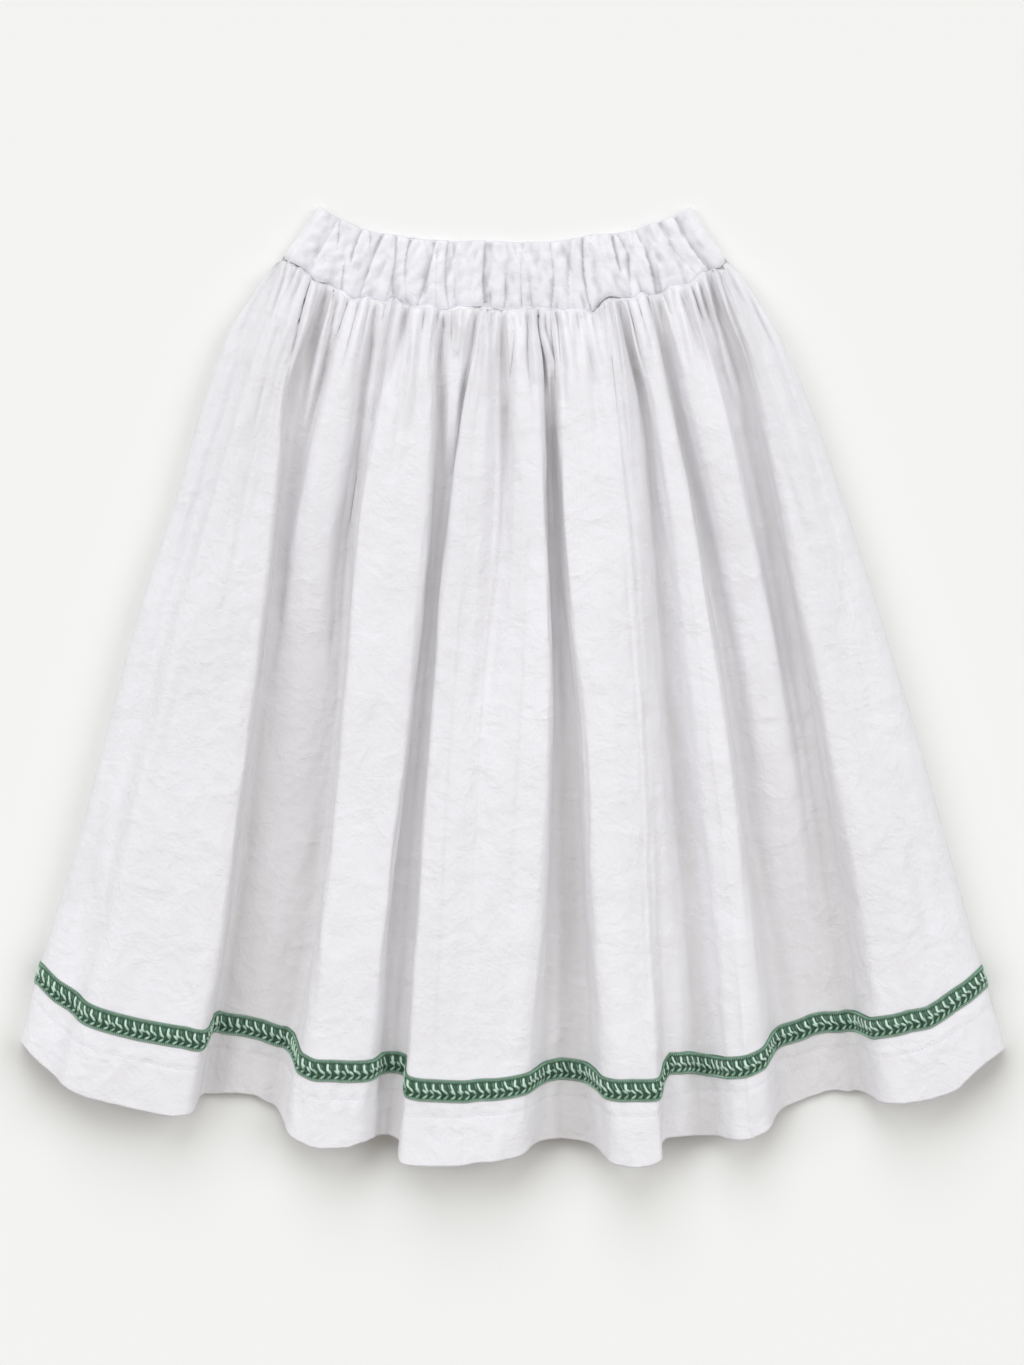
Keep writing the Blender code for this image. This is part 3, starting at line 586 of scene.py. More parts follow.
class Wiring:
    """Adds nodes to a tree; their inputs are values, or sockets to link from."""

    def __init__(self, tree):
        self.tree = tree

    def feed(self, made, inputs):
        for name, value in inputs.items():
            if isinstance(value, bpy.types.NodeSocket):
                self.tree.links.new(value, made.inputs[name])
            else:
                made.inputs[name].default_value = value

    def node(self, kind, inputs=None, **settings):
        made = self.tree.nodes.new(kind)
        for name, value in settings.items():
            setattr(made, name, value)
        self.feed(made, inputs or {})
        return made

    def out(self, kind, inputs=None, **settings):
        """The first output of such a node."""
        return self.node(kind, inputs, **settings).outputs[0]

    def maths(self, operation, *values, kind="Math"):
        return self.out(f"ShaderNode{kind}", dict(enumerate(values)), operation=operation)

    def scaled(self, vector, amount):
        inputs = {0: vector, "Scale": amount}
        return self.out("ShaderNodeVectorMath", inputs, operation="SCALE")

    def noise(self, inputs, **settings):
        return self.out("ShaderNodeTexNoise", inputs, **settings)

    def bump(self, height, strength, distance, **under):
        inputs = {"Height": height, "Strength": strength, "Distance": distance, **under}
        return self.out("ShaderNodeBump", inputs)


def material(name, inputs):
    """A material, its shader with those inputs, and what adds nodes to it."""
    made = bpy.data.materials.new(name)
    made.use_nodes = True
    wiring, shader = Wiring(made.node_tree), made.node_tree.nodes["Principled BSDF"]
    wiring.feed(shader, inputs)
    return made, shader, wiring


def cotton(name, light, shade, painted_shade, seed):
    """Bleached plain weave: crossing threads of uneven thickness, soft crumples, and painted shade in its
    furrows.
    """
    made, shader, wiring = material(
        name, {"Specular IOR Level": 0.25, "Sheen Weight": 0.12, "Sheen Roughness": 0.5}
    )
    cloth = wiring.node("ShaderNodeUVMap", uv_map="cloth").outputs["UV"]
    solid = wiring.node("ShaderNodeTexCoord").outputs["Object"]
    here = {"Vector": solid, "W": seed}

    slubs = []
    for stretch in ((1.0, 0.03, 1.0), (0.03, 1.0, 1.0)):
        laid = wiring.out("ShaderNodeMapping", {"Vector": cloth, "Scale": stretch})
        slubs.append(wiring.noise(
            {"Vector": laid, "Scale": 0.55 / THREAD, "Detail": 2.0, "Roughness": 0.6}
        ))
    slub = wiring.maths("ADD", *slubs)
    waves = wiring.maths("SINE", wiring.scaled(cloth, math.pi / THREAD), kind="VectorMath")
    warp_weft = wiring.node("ShaderNodeSeparateXYZ", {0: waves}).outputs
    weave = wiring.maths("MULTIPLY", warp_weft[0], warp_weft[1])
    threads = wiring.maths("MULTIPLY_ADD", slub, 1.6, weave)
    crumples = wiring.noise(
        {**here, "Scale": 42.0, "Detail": 6.0, "Roughness": 0.62, "Distortion": 0.4},
        noise_dimensions="4D",
    )
    pressed = wiring.noise(
        {**here, "Scale": 28.0, "Detail": 5.0, "Roughness": 0.55, "Offset": 0.9, "Gain": 1.6,
         "Distortion": 0.6},
        noise_dimensions="4D", noise_type="RIDGED_MULTIFRACTAL",
    )
    soft = wiring.bump(crumples, 0.9, 0.0030)
    soft = wiring.bump(pressed, 0.8, 0.0005, Normal=soft)
    fine = wiring.bump(threads, 0.5, 0.00012, Normal=soft)

    tone = wiring.out("ShaderNodeMapRange", {"Value": threads, "From Min": 0.6, "From Max": 2.6})
    blotch = wiring.noise({**here, "Scale": 9.0, "Detail": 2.0}, noise_dimensions="4D")
    share = wiring.maths("MULTIPLY_ADD", tone, 0.5, blotch)
    colour = wiring.node(
        "ShaderNodeMix", {"Factor": share, "A": shade, "B": light}, data_type="RGBA"
    ).outputs[2]
    # Painted shade: the colour is mixed towards the painted shade colour by the mesh's painted shade
    # amount.
    deep = wiring.node("ShaderNodeAttribute", attribute_name="painted_shade").outputs["Fac"]
    shaded = wiring.node(
        "ShaderNodeMix", {"Factor": deep, "A": colour, "B": painted_shade}, data_type="RGBA"
    ).outputs[2]
    rough = wiring.out("ShaderNodeMapRange", {"Value": slub, "To Min": 0.94, "To Max": 0.78})
    wiring.feed(shader, {"Normal": fine, "Base Color": shaded, "Roughness": rough})
    return made


def sheet_of(piece, cad_node):
    """Hides the solid that a piece stands for, and hangs the piece on the root body."""
    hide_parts(cad_node)
    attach(piece, "root")


def white_panel(name, cad_node, grid, rows, u, v, seed):
    """A panel of cotton, thicker where its hem is turned up."""
    wall = np.where(rows > HEM_STITCHING, HEM_CLOTH, CLOTH)
    look = cotton(name.replace("_", " ") + " cotton", COTTON_LIGHT, COTTON_SHADE, COTTON_PAINTED_SHADE, seed)
    sheet_of(shell(name, grid, wall, u, v, look), cad_node)


front_base, front_angles, front_drops, front_share, u, v = panel(
    front_section, FRONT_COLUMNS, FRONT_ROWS, FRONT_ROW, FRONT_FLAT
)
drops = front_drops[:, None] + 0 * front_angles
below_trim = np.clip((drops - TRIM_FOOT) / (1 - TRIM_FOOT), 0.0, 1.0)
strays = below_trim**2 * (3 - 2 * below_trim) * np.interp(front_angles[-1], *zip(*HEM_STRAYS))
slope = np.radians(front_angles)
front_base[..., 0] += np.sin(slope) * strays / 1000
front_base[..., 1] -= np.cos(slope) * strays / 1000
inward = np.clip(np.minimum(front_share, 1 - front_share) / 0.03, 0.0, 1.0) ** 1.5
front_base[..., 2] += inward * (
    gathered(front_angles, drops, GATHERS, 7, GATHER_RISE)
    + gathered(front_angles, drops, PUCKERS, 8, PUCKER_RISE, (0.010, 0.038), 7.0)
    - 0.35 * GATHER_RISE * dying(drops, GATHER_DIP) * (1 - dying(drops, CREASE_SWELL))
    + creased(front_angles, drops, FRONT_CREASES)
)
slack = inward * (1 - 0.75 * beside(drops, (TRIM_TOP + TRIM_FOOT) / 2, 0.016))
front_relief = (
    slack * sum(height * ripples(u, v, *size) for height, *size in FRONT_RIPPLES)
    + 0.0005 * beside(drops, HEM_STITCHING, 0.007) * ripples(u, v, 0.016, 0.5, 24)
    - 0.0004 * beside(drops, HEM_STITCHING, 0.0012)
    - DITCH * dying(drops, DITCH_WIDTH)
)
front_grid = front_base + front_relief[..., None] * outward(front_base)
white_panel("front_skirt", "front_panel", front_grid, front_drops, u, v, 1.0)


# Back skirt panel -------------------------
# The same width of cotton, sewn to the front along both side seams. It lies on the table
# under the front, pressed nearly flat, with a few low folds that reach up into the front's.
BACK_FLAT = (0.85, 0.664)
BACK_ROWS, BACK_ROW = 96, 0.0085
BACK_COLUMNS = ((0.0, 0.0026), (0.3, 0.0048), (1.0, 0.0052))
BACK_FLARE, BACK_FLARE_ANGLE = -34, 2.5  # millimetres, and how far from the side it is reached
TRIM_UNDER = 0.0034  # the back hem's braid lies between it and the table
LYING, LIFTING = 0.0003, 0.87  # height on the table, and the drop where the braid starts to lift it
# Low folds: angle at each station, width and height
BACK_FOLDS = (
    ((-15.5, -15.6, -15.0, -14.4, -14.2), 0.030, 0.0060),
    ((-7.2, -6.8, -6.5, -6.4, -6.5), 0.024, 0.0045), ((0.9, -1.6, -1.7, -1.6, -1.6), 0.034, 0.0070),
    ((6.3, 5.9, 5.7, 5.2, 4.9), 0.026, 0.0050), ((16.8, 18.0, 17.2, 16.2, 15.6), 0.024, 0.0045),
)
BACK_FOLD_PROFILE = ((-1.0, 0.0), (-0.45, 0.6), (0.0, 1.0), (0.45, 0.6), (1.0, 0.0))
BACK_CREASES = (
    ((0, -12.6, 5, -2), (0.10, -12.9, 5, -2), (0.30, -13.0, 5, 0)),
    ((0, -9.5, 5, -2), (0.08, -9.2, 5, -1), (0.20, -9.0, 5, 0)),
    ((0, -3.4, 6, -2), (0.12, -3.9, 6, -2), (0.34, -4.1, 6, 0)),
    ((0, 3.1, 5, -2), (0.10, 3.2, 5, -1), (0.26, 3.0, 5, 0)),
    ((0, 10.8, 5, -2), (0.10, 11.2, 5, -2), (0.32, 11.0, 5, 0)),
    ((0.02, 14.0, 5, -1), (0.12, 14.2, 5, -1), (0.24, 14.1, 5, 0)),
)
BACK_GATHER_RISE = 0.0030
BACK_GATHERS = np.linspace(17.9, -17.4, 40) + 0.25 * np.sin(np.arange(40) * 2.3)


def back_rest(drop):
    """The back lies on the table, and on its braid where that is under it."""
    drops, heights = (LIFTING, TRIM_TOP, TRIM_FOOT, 1.0), (LYING, TRIM_UNDER, TRIM_UNDER, LYING)
    return float(np.interp(drop, drops, heights))


def back_section(drop):
    """Angle, height and hem flare across the back, right side seam to left."""
    left_edge, right_edge = side_angles(drop)
    rest = back_rest(drop)
    grown = min(max(drop, 0.0) / STATIONS[1], 1.0)
    side = [(0.0, 0.0060), (0.0, 0.0034), (0.0014, rest + 0.0008), (0.005, rest)]
    points = [(left_edge + degrees_of(inward, drop), max(height, rest)) for inward, height in side]
    for fold, width, top in BACK_FOLDS:
        middle = station(fold, drop)
        half = degrees_of(width, drop) / 2
        points.append(((points[-1][0] + middle - half) / 2, rest))
        for where, part in BACK_FOLD_PROFILE:
            points.append((middle + where * half, rest + part * grown * top))
    points += [
        (right_edge - degrees_of(inward, drop), max(height, rest))
        for inward, height in reversed(side)
    ]
    flares = np.interp(
        [angle for angle, height in points],
        (left_edge, left_edge + BACK_FLARE_ANGLE, right_edge - BACK_FLARE_ANGLE, right_edge),
        (LEFT_SIDE_FLARE, BACK_FLARE, BACK_FLARE, RIGHT_SIDE_FLARE),
    )
    section = [(angle, height, flare) for (angle, height), flare in zip(points, flares)]
    return np.array(section[::-1])


back_base, back_angles, back_drops, back_share, u, v = panel(
    back_section, BACK_COLUMNS, BACK_ROWS, BACK_ROW, BACK_FLAT
)
drops = back_drops[:, None] + 0 * back_angles
pressed = np.clip(np.minimum(back_share, 1 - back_share) / 0.02, 0.0, 1.0)
back_relief = pressed * (
    gathered(back_angles, drops, BACK_GATHERS, 11, BACK_GATHER_RISE)
    - BACK_GATHER_RISE * dying(drops, GATHER_DIP)
    + creased(back_angles, drops, BACK_CREASES)
    + 0.0004 * ripples(u, v, 0.05, 0.16, 31) - 0.0004
    - DITCH * 0.5 * dying(drops, DITCH_WIDTH)
)
back_grid = back_base + back_relief[..., None] * outward(back_base)
back_grid[..., 2] = np.maximum(back_grid[..., 2], 0.0002)
white_panel("back_skirt", "back_panel", back_grid, back_drops, u, v, 2.0)


# Waistband --------------------------------
# A straight strip of the same cotton folded over a wide elastic and sewn to the gathered
# skirt. The elastic draws it up all round, so it puffs out between uneven upright creases
# that nick its folded top edge and end in the waist seam.
BAND_FLAT = (0.86, 0.058)  # cut length all round, and height that shows
TOP_RADIUS = 0.5280
TOP_SIDE_LEFT, TOP_SIDE_RIGHT = -16.90, 17.56
TOP_EDGE = (
    (-16.9, -7.6), (-16.0, -5.0), (-14.8, -3.0), (-12.4, 1.2), (-9.3, 1.0), (-5.6, 0.4), (-1.0, -0.8),
    (1.8, 0.2), (4.4, 0.9), (7.7, -0.6), (9.8, 0.4), (11.9, 1.0), (14.2, -0.8), (15.9, -1.9), (16.9, -4.0),
    (17.6, -5.0),
)
BAND_LIGHT = (0.872, 0.874, 0.906, 1.0)
BAND_SHADE = (0.815, 0.817, 0.850, 1.0)
# Painted shade: the colour the waistband is darkened towards in its creases
BAND_PAINTED_SHADE = (0.560, 0.565, 0.590, 1.0)
BAND_HEIGHT = 0.054
BAND_HALF_WALL = 0.0013
BAND_ROLL = 0.0022  # how far its foot rolls under
FOOT_TURN, TOP_TURN = 0.0008, 0.0013  # cloth in the two folded edges, for each radian
BAND_ROUND = 0.118  # cloth all the way down the outside and up the inside
BAND_PUFF = 0.0016
BAND_SLOPE = 9.5  # millimetres that the cloth beside a crease takes to slope back up
BAND_DEEPEST = 6.2  # millimetres that creases go down together
# Height, size across and along, and seed
BAND_RIPPLES = ((0.00085, 0.017, 0.050, 43), (0.00040, 0.011, 0.016, 44))
BAND_COLUMNS = (420, 200)  # front, back
BAND_ROWS = 40
BAND_INNER_ROWS = 12
EVEN_PARTS = 16  # of each span, when columns are spaced evenly
# Creases: angle at the band's top edge and at its foot, where each starts and ends as a
# share of the height, and its depth and half width in millimetres
BandCrease = namedtuple("BandCrease", "top foot start end depth width")
BAND_CREASES = [BandCrease(*row) for row in (
    (-14.8, -16.3, 0, 0.90, 0.8, 3), (-12.5, -12.6, 0, 0.66, 2.2, 2), (-10.6, -11.5, 0, 1.00, 2.2, 1.8),
    (-9.5, -9.5, 0, 1.00, 1.2, 2), (-8.2, -7.8, 0, 1.00, 1.8, 2), (-5.9, -6.8, 0, 1.00, 1.6, 2),
    (-5.8, -5.3, 0.05, 1.00, 1.2, 1.8), (-4.8, -4.3, 0, 1.00, 0.9, 1.2), (-4.4, -4.0, 0, 1.00, 0.8, 1.2),
    (-1.4, -1.4, 0, 1.00, 1.8, 2.2), (-0.1, 0.2, 0.45, 1.00, 0.9, 2.2), (2.0, 1.7, 0, 1.00, 1.2, 2.2),
    (4.4, 4.1, 0, 1.00, 1.6, 2), (6.3, 5.5, 0, 1.00, 0.8, 3.4), (7.4, 7.3, 0, 1.00, 2.4, 2),
    (9.9, 10.8, 0, 0.68, 2, 1.8), (10.4, 11.3, 0, 0.60, 1.2, 1.4), (11.4, 10.6, 0.32, 1.00, 2, 1.8),
    (12.1, 12.6, 0, 1.00, 2.4, 2), (14.2, 16.4, 0, 1.00, 1, 2.6), (15.8, 17.3, 0, 1.00, 0.9, 2.4),
)]


def evenly(section, drop, spans):
    """Places at even distances along a section's curve."""
    curve = curve_through(section, drop, [EVEN_PARTS] * (len(section) - 1))
    scale = math.radians(1) * radius_at(drop)
    along = lengths_along(curve[:, :2] * (scale, 1.0))
    wanted = np.linspace(0.0, along[-1], spans + 1)
    return np.column_stack([np.interp(wanted, along, column) for column in curve.T])


def chance_creases(count, low, high, seed, depths):
    """Lesser creases at chance places, some from the top edge and some from the seam."""
    chance = np.random.default_rng(seed)
    made = []
    for number in range(count):
        top = low + (high - low) * (number + chance.uniform(0.1, 0.9)) / count
        start, end = ((0.0, chance.uniform(0.25, 0.6)), (chance.uniform(0.4, 0.75), 1.0))[number % 2]
        lean, depth = chance.uniform(-1.3, 1.3), chance.uniform(*depths)
        made.append(BandCrease(top, top + lean, start, end, depth, chance.uniform(1.2, 2.6)))
    return made


def band_creasing(angles, part, creases):
    """How deep in metres the band is creased: each crease is a notch beside a slope."""
    depth = np.zeros_like(angles)
    for crease in creases:
        bow, fading = math.cos(7.3 * crease.top), math.sin(5.1 * crease.top + 3 * part)
        middle = crease.top + part * (crease.foot - crease.top) + 0.3 * bow * math.sin(math.pi * part)
        way = 1 if crease.foot >= crease.top else -1
        aside = 1000 * np.radians(angles - middle) * TOP_RADIUS * way
        start = 1.0 if crease.start == 0.0 else np.clip((part - crease.start) / 0.15, 0.0, 1.0)
        end = 1.0 if crease.end == 1.0 else np.clip((crease.end - part) / 0.25, 0.0, 1.0)
        notch = np.exp(-np.abs(aside) / crease.width)
        sloping = np.where(aside > 0, np.exp(-aside / BAND_SLOPE), 0.0)
        depth += crease.depth * start * end * (0.7 + 0.3 * fading) * (1.1 * notch + 1.5 * sloping)
    return BAND_DEEPEST * np.tanh(depth / BAND_DEEPEST) / 1000


def ring_average(values, reach):
    """Values averaged with their neighbours round the ring."""
    return sum(np.roll(values, step, 1) for step in range(-reach, reach + 1)) / (2 * reach + 1)


band_front = evenly(front_section(0.0), 0.0, BAND_COLUMNS[0])
band_back = evenly(back_section(0.0), 0.0, BAND_COLUMNS[1])
ring = np.vstack((band_front, band_back[1:-1], band_front[:1]))
is_front = np.arange(len(ring)) < len(band_front)
left_edge, right_edge = side_angles(0.0)
ring_share = (ring[:, 0] - left_edge) / (right_edge - left_edge)
top_angles = TOP_SIDE_LEFT + ring_share * (TOP_SIDE_RIGHT - TOP_SIDE_LEFT)
band_tops = TOP_RADIUS + smooth(*zip(*TOP_EDGE), top_angles) / 1000
band_seams = seam_radius(ring[:, 0])
band_parts = np.linspace(0.0, 1.0, BAND_ROWS)
side_fade = np.clip(np.minimum(ring_share, 1 - ring_share) / 0.05, 0.0, 1.0)
front_lines = BAND_CREASES + chance_creases(17, -16.5, 17.2, 41, (0.4, 1.4))
back_lines = chance_creases(30, -16.0, 17.0, 42, (0.6, 1.8))
band_surface, band_relief = [], []
for part in band_parts:
    angles = top_angles + part * (ring[:, 0] - top_angles)
    creasing = np.where(
        is_front, band_creasing(angles, part, front_lines), band_creasing(angles, part, back_lines)
    )
    nicked = 0.55 * creasing * math.exp(-part / 0.05)
    radii = band_tops + part * (band_seams - band_tops) + nicked
    band_surface.append(place(angles, radii, ring[:, 1]))
    puff = BAND_PUFF * math.sin(math.pi * part) ** 0.7
    rolled = BAND_ROLL * math.exp(-(1 - part) * BAND_HEIGHT / BAND_ROLL)
    band_relief.append(side_fade * (puff - creasing) - rolled * (0.3 + 0.7 * is_front))
band_surface, band_relief = np.array(band_surface), np.array(band_relief)
arc = lengths_along(band_surface[0])
u = arc * BAND_FLAT[0] / arc[-1]
down = BAND_HEIGHT * band_parts[:, None]
for height, *size in BAND_RIPPLES:
    band_relief += side_fade * height * ripples(u, down, *size)
band_relief -= np.where(is_front, 0.0, np.maximum(band_relief, 0.0))
turned = np.concatenate((band_surface[:, -3:-1], band_surface, band_surface[:, 1:3]), 1)
band_normals = outward(turned)[:, 2:-2]
band_up = band_surface[0] - band_surface[1]
band_up /= np.linalg.norm(band_up, axis=1, keepdims=True)
outer = band_surface + band_relief[..., None] * band_normals
rings, ring_down = list(outer), list(BAND_HEIGHT * band_parts)
for turn in np.linspace(0.0, math.pi, 7)[1:-1]:
    side, out = math.cos(turn) - 1, 0.55 * math.sin(turn)
    rings.append(outer[-1] + BAND_HALF_WALL * (side * band_normals[-1] - out * band_up))
    ring_down.append(BAND_HEIGHT + FOOT_TURN * turn)
for part in np.linspace(1.0, 0.0, BAND_INNER_ROWS):
    row = part * (BAND_ROWS - 1)
    low = min(int(row), BAND_ROWS - 2)
    inner = band_surface[low] + (row - low) * (band_surface[low + 1] - band_surface[low])
    settled = np.minimum(band_relief[low], 0.0)[:, None] * 0.6
    rings.append(inner - (2 * BAND_HALF_WALL - settled) * band_normals[low])
    ring_down.append(BAND_FLAT[1] + BAND_HEIGHT * (1 - part))
for turn in np.linspace(math.pi, 0.0, 9)[1:-1]:
    side, out = math.cos(turn) - 1, math.sin(turn)
    rings.append(outer[0] + BAND_HALF_WALL * (side * band_normals[0] + out * band_up))
    ring_down.append(BAND_ROUND - TOP_TURN * turn)
rings = np.array(rings)[:, :-1]
rings[..., 2] = np.maximum(rings[..., 2], 0.0002)
corners = np.arange(rings[..., 0].size).reshape(rings.shape[:2])
faces = quads(np.pad(corners, ((0, 1), (0, 1)), mode="wrap"))
uv = np.stack(np.broadcast_arrays(u[:-1], np.array(ring_down)[:, None]), -1).reshape(-1, 2)
band_cotton = cotton("waistband cotton", BAND_LIGHT, BAND_SHADE, BAND_PAINTED_SHADE, 3.0)
# Painted shade: 0.3 on the inside and the folded edges, and on the outside by how deep each place lies in a
# crease
band_painted_shade = np.full(rings.shape[:2], 0.3)
depths = -band_relief[:, :-1]
band_painted_shade[:BAND_ROWS] = np.clip(sum(
    share * np.clip((depths - ring_average(depths, reach)) / deep, 0.0, 1.0)
    for reach, deep, share in ((5, 0.0011, 0.65), (14, 0.0022, 0.45))
), 0.0, 1.0)
waist_band = cloth_mesh(
    "waist_band", rings.reshape(-1, 3), faces, uv, band_painted_shade.ravel(), band_cotton
)
sheet_of(waist_band, "waistband")


# Hem stitching ----------------------------
# The hem is turned up inside and held by one line of white machine stitches all round,
# a little below the braid. Each stitch sinks into the cloth at both ends.
STITCH_PITCH = 0.0036
STITCH_LENGTH = 0.0026
STITCH_RADIUS = 0.00028
STITCH_UP = 0.004  # drop over which the way up from the stitching is read


def sewn_path(name, grid, drops, foot, top, strays=0.0):
    """A line across a panel at the foot's drop, with the ways up and out from each point."""
    columns = np.arange(grid.shape[1])

    def row(values, drop):
        at = np.interp(drop + strays + 0.0 * columns, drops, np.arange(len(drops)))
        low = np.minimum(at.astype(int), len(drops) - 2)
        share = (at - low)[:, None]
        return (1 - share) * values[low, columns] + share * values[low + 1, columns]

    lower, upper = row(grid, foot), row(grid, top)
    out = row(outward(grid), (foot + top) / 2)
    mesh = bpy.data.meshes.new(name)
    mesh.from_pydata(lower.tolist(), [(n, n + 1) for n in range(len(lower) - 1)], [])
    for kind, vectors in (("up", (upper - lower) / ((foot - top) * DROP_LENGTH)), ("out", out)):
        layer = mesh.attributes.new(kind, "FLOAT_VECTOR", "POINT")
        layer.data.foreach_set("vector", vectors.astype("f").ravel())
    return in_scene(name, mesh)


def thread_shape(name, strands):
    """Short closed threads as one small shape: each its points, radius, tint and painted shade, sides,
    flatness.
    """
    points, faces, tints_and_shade = [], [], []
    for line, radius, tint_and_shade, sides, flat in strands:
        line = np.asarray(line, float) / 1000
        radius = np.broadcast_to(np.asarray(radius, float) / 1000, len(line))[:, None, None]
        along = np.gradient(line, axis=0)
        along /= np.linalg.norm(along, axis=1, keepdims=True)
        side = np.cross(along, (0.0, 0.0, 1.0))
        side /= np.linalg.norm(side, axis=1, keepdims=True)
        over = np.cross(side, along)
        turns = (np.arange(sides) + 0.5) * 2 * math.pi / sides
        ring = np.cos(turns)[:, None] * side[:, None] + flat * np.sin(turns)[:, None] * over[:, None]
        start = len(points)
        points += (line[:, None] + radius * ring).reshape(-1, 3).tolist()
        tints_and_shade += np.repeat(np.broadcast_to(tint_and_shade, len(line)), sides).tolist()
        for n in range(len(line) - 1):
            for m in range(sides):
                a, b = start + n * sides + m, start + n * sides + (m + 1) % sides
                faces.append((a, a + sides, b + sides, b))
        last = start + (len(line) - 1) * sides
        faces.append(tuple(range(start, start + sides)))
        faces.append(tuple(range(last + sides - 1, last - 1, -1)))
    mesh = bpy.data.meshes.new(name)
    mesh.from_pydata(points, [], faces)
    mesh.attributes.new("tint_and_shade", "FLOAT", "POINT").data.foreach_set("value", tints_and_shade)
    mesh.shade_smooth()
    return bpy.data.objects.new(name, mesh)


def sewing_tree(name, kinds):
    """Nodes that repeat shapes along a straight strip, then bend the strip onto a path."""
    tree = bpy.data.node_groups.new(name, "GeometryNodeTree")
    sockets = [("Path", "Geometry"), ("Material", "Material"), ("Sewn", "Geometry")]
    for kind in kinds:
        sockets += [(kind, "Object"), (f"{kind} pitch", "Float")]
    for socket, what in sockets:
        way = "OUTPUT" if socket == "Sewn" else "INPUT"
        tree.interface.new_socket(socket, in_out=way, socket_type=f"NodeSocket{what}")
    wiring = Wiring(tree)
    given = wiring.node("NodeGroupInput").outputs
    curve = wiring.out("GeometryNodeMeshToCurve", {"Mesh": given["Path"]})
    length = wiring.out("GeometryNodeCurveLength", {"Curve": curve})
    strip = wiring.node("GeometryNodeJoinGeometry")
    for kind in kinds:
        pitch = given[f"{kind} pitch"]
        count = wiring.maths("ROUND", wiring.maths("DIVIDE", length, pitch))
        step = wiring.maths("DIVIDE", length, count)
        stretch = wiring.maths("DIVIDE", step, pitch)
        offset = wiring.out("ShaderNodeCombineXYZ", {"X": step})
        scale = wiring.out("ShaderNodeCombineXYZ", {"X": stretch, "Y": 1.0, "Z": 1.0})
        line = wiring.out("GeometryNodeMeshLine", {"Count": count, "Offset": offset}, mode="OFFSET")
        shape = wiring.node("GeometryNodeObjectInfo", {"Object": given[kind]}).outputs["Geometry"]
        laid = {"Points": line, "Instance": shape, "Scale": scale}
        wiring.feed(strip, {0: wiring.out("GeometryNodeInstanceOnPoints", laid)})
    real = wiring.out("GeometryNodeRealizeInstances", {"Geometry": strip.outputs[0]})
    where = wiring.out("GeometryNodeInputPosition")
    at = wiring.node("ShaderNodeSeparateXYZ", {0: where}).outputs
    ways = []
    for kind, amount in (("up", at["Y"]), ("out", at["Z"])):
        way = wiring.out("GeometryNodeInputNamedAttribute", {"Name": kind}, data_type="FLOAT_VECTOR")
        sample = wiring.node(
            "GeometryNodeSampleCurve", {"Curves": curve, "Value": way, "Length": at["X"]},
            data_type="FLOAT_VECTOR", mode="LENGTH", use_all_curves=True,
        ).outputs
        ways.append(wiring.scaled(sample["Value"], amount))
    bent = wiring.maths("ADD", sample["Position"], ways[0], kind="VectorMath")
    bent = wiring.maths("ADD", bent, ways[1], kind="VectorMath")
    sewn = wiring.out("GeometryNodeSetPosition", {"Geometry": real, "Position": bent})
    dyed = {"Geometry": sewn, "Material": given["Material"]}
    wiring.node("NodeGroupOutput", {"Sewn": wiring.out("GeometryNodeSetMaterial", dyed)})
    return tree


def sew(name, path, tree, look, shapes):
    """Runs a sewing tree on a path and keeps what it makes as a plain mesh."""
    sewing = path.modifiers.new("sewing", "NODES")
    sewing.node_group = tree
    sockets = {s.name: s.identifier for s in tree.interface.items_tree if s.in_out == "INPUT"}
    sewing[sockets["Material"]] = look
    for kind, (shape, pitch) in shapes.items():
        sewing[sockets[kind]] = shape
        sewing[sockets[f"{kind} pitch"]] = pitch
    made = bpy.data.meshes.new_from_object(path.evaluated_get(bpy.context.evaluated_depsgraph_get()))
    made.name = name
    path.modifiers.remove(sewing)
    bpy.data.objects.remove(path)
    return in_scene(name, made)


def thread_material(name, dark, middle, light, scale):
    """Spun thread: its tint picks the colour and the painted shade, with fine fibres and small flecks over
    it.
    """
    made, shader, wiring = material(name, {"Specular IOR Level": 0.3, "Sheen Weight": 0.2})
    solid = wiring.node("ShaderNodeTexCoord").outputs["Object"]
    fibres = wiring.noise({"Vector": solid, "Scale": scale, "Detail": 3.0, "Roughness": 0.65})
    flecks = wiring.noise({"Vector": solid, "Scale": scale * 0.22, "Detail": 2.0})
    tint_and_shade = wiring.node("ShaderNodeAttribute", attribute_name="tint_and_shade").outputs["Fac"]
    mixed = wiring.maths("MULTIPLY_ADD", fibres, 0.42, tint_and_shade)
    mixed = wiring.maths("MULTIPLY_ADD", flecks, 0.30, mixed)
    ramp = wiring.node("ShaderNodeValToRGB", {"Fac": wiring.maths("SUBTRACT", mixed, 0.36)})
    ramp.color_ramp.elements[0].color = dark
    ramp.color_ramp.elements[1].color = light
    ramp.color_ramp.elements.new(0.5).color = middle
    rough = wiring.out("ShaderNodeMapRange", {"Value": fibres, "To Min": 0.95, "To Max": 0.7})
    fuzz = wiring.bump(fibres, 0.6, 0.0003)
    wiring.feed(shader, {"Base Color": ramp.outputs[0], "Roughness": rough, "Normal": fuzz})
    return made


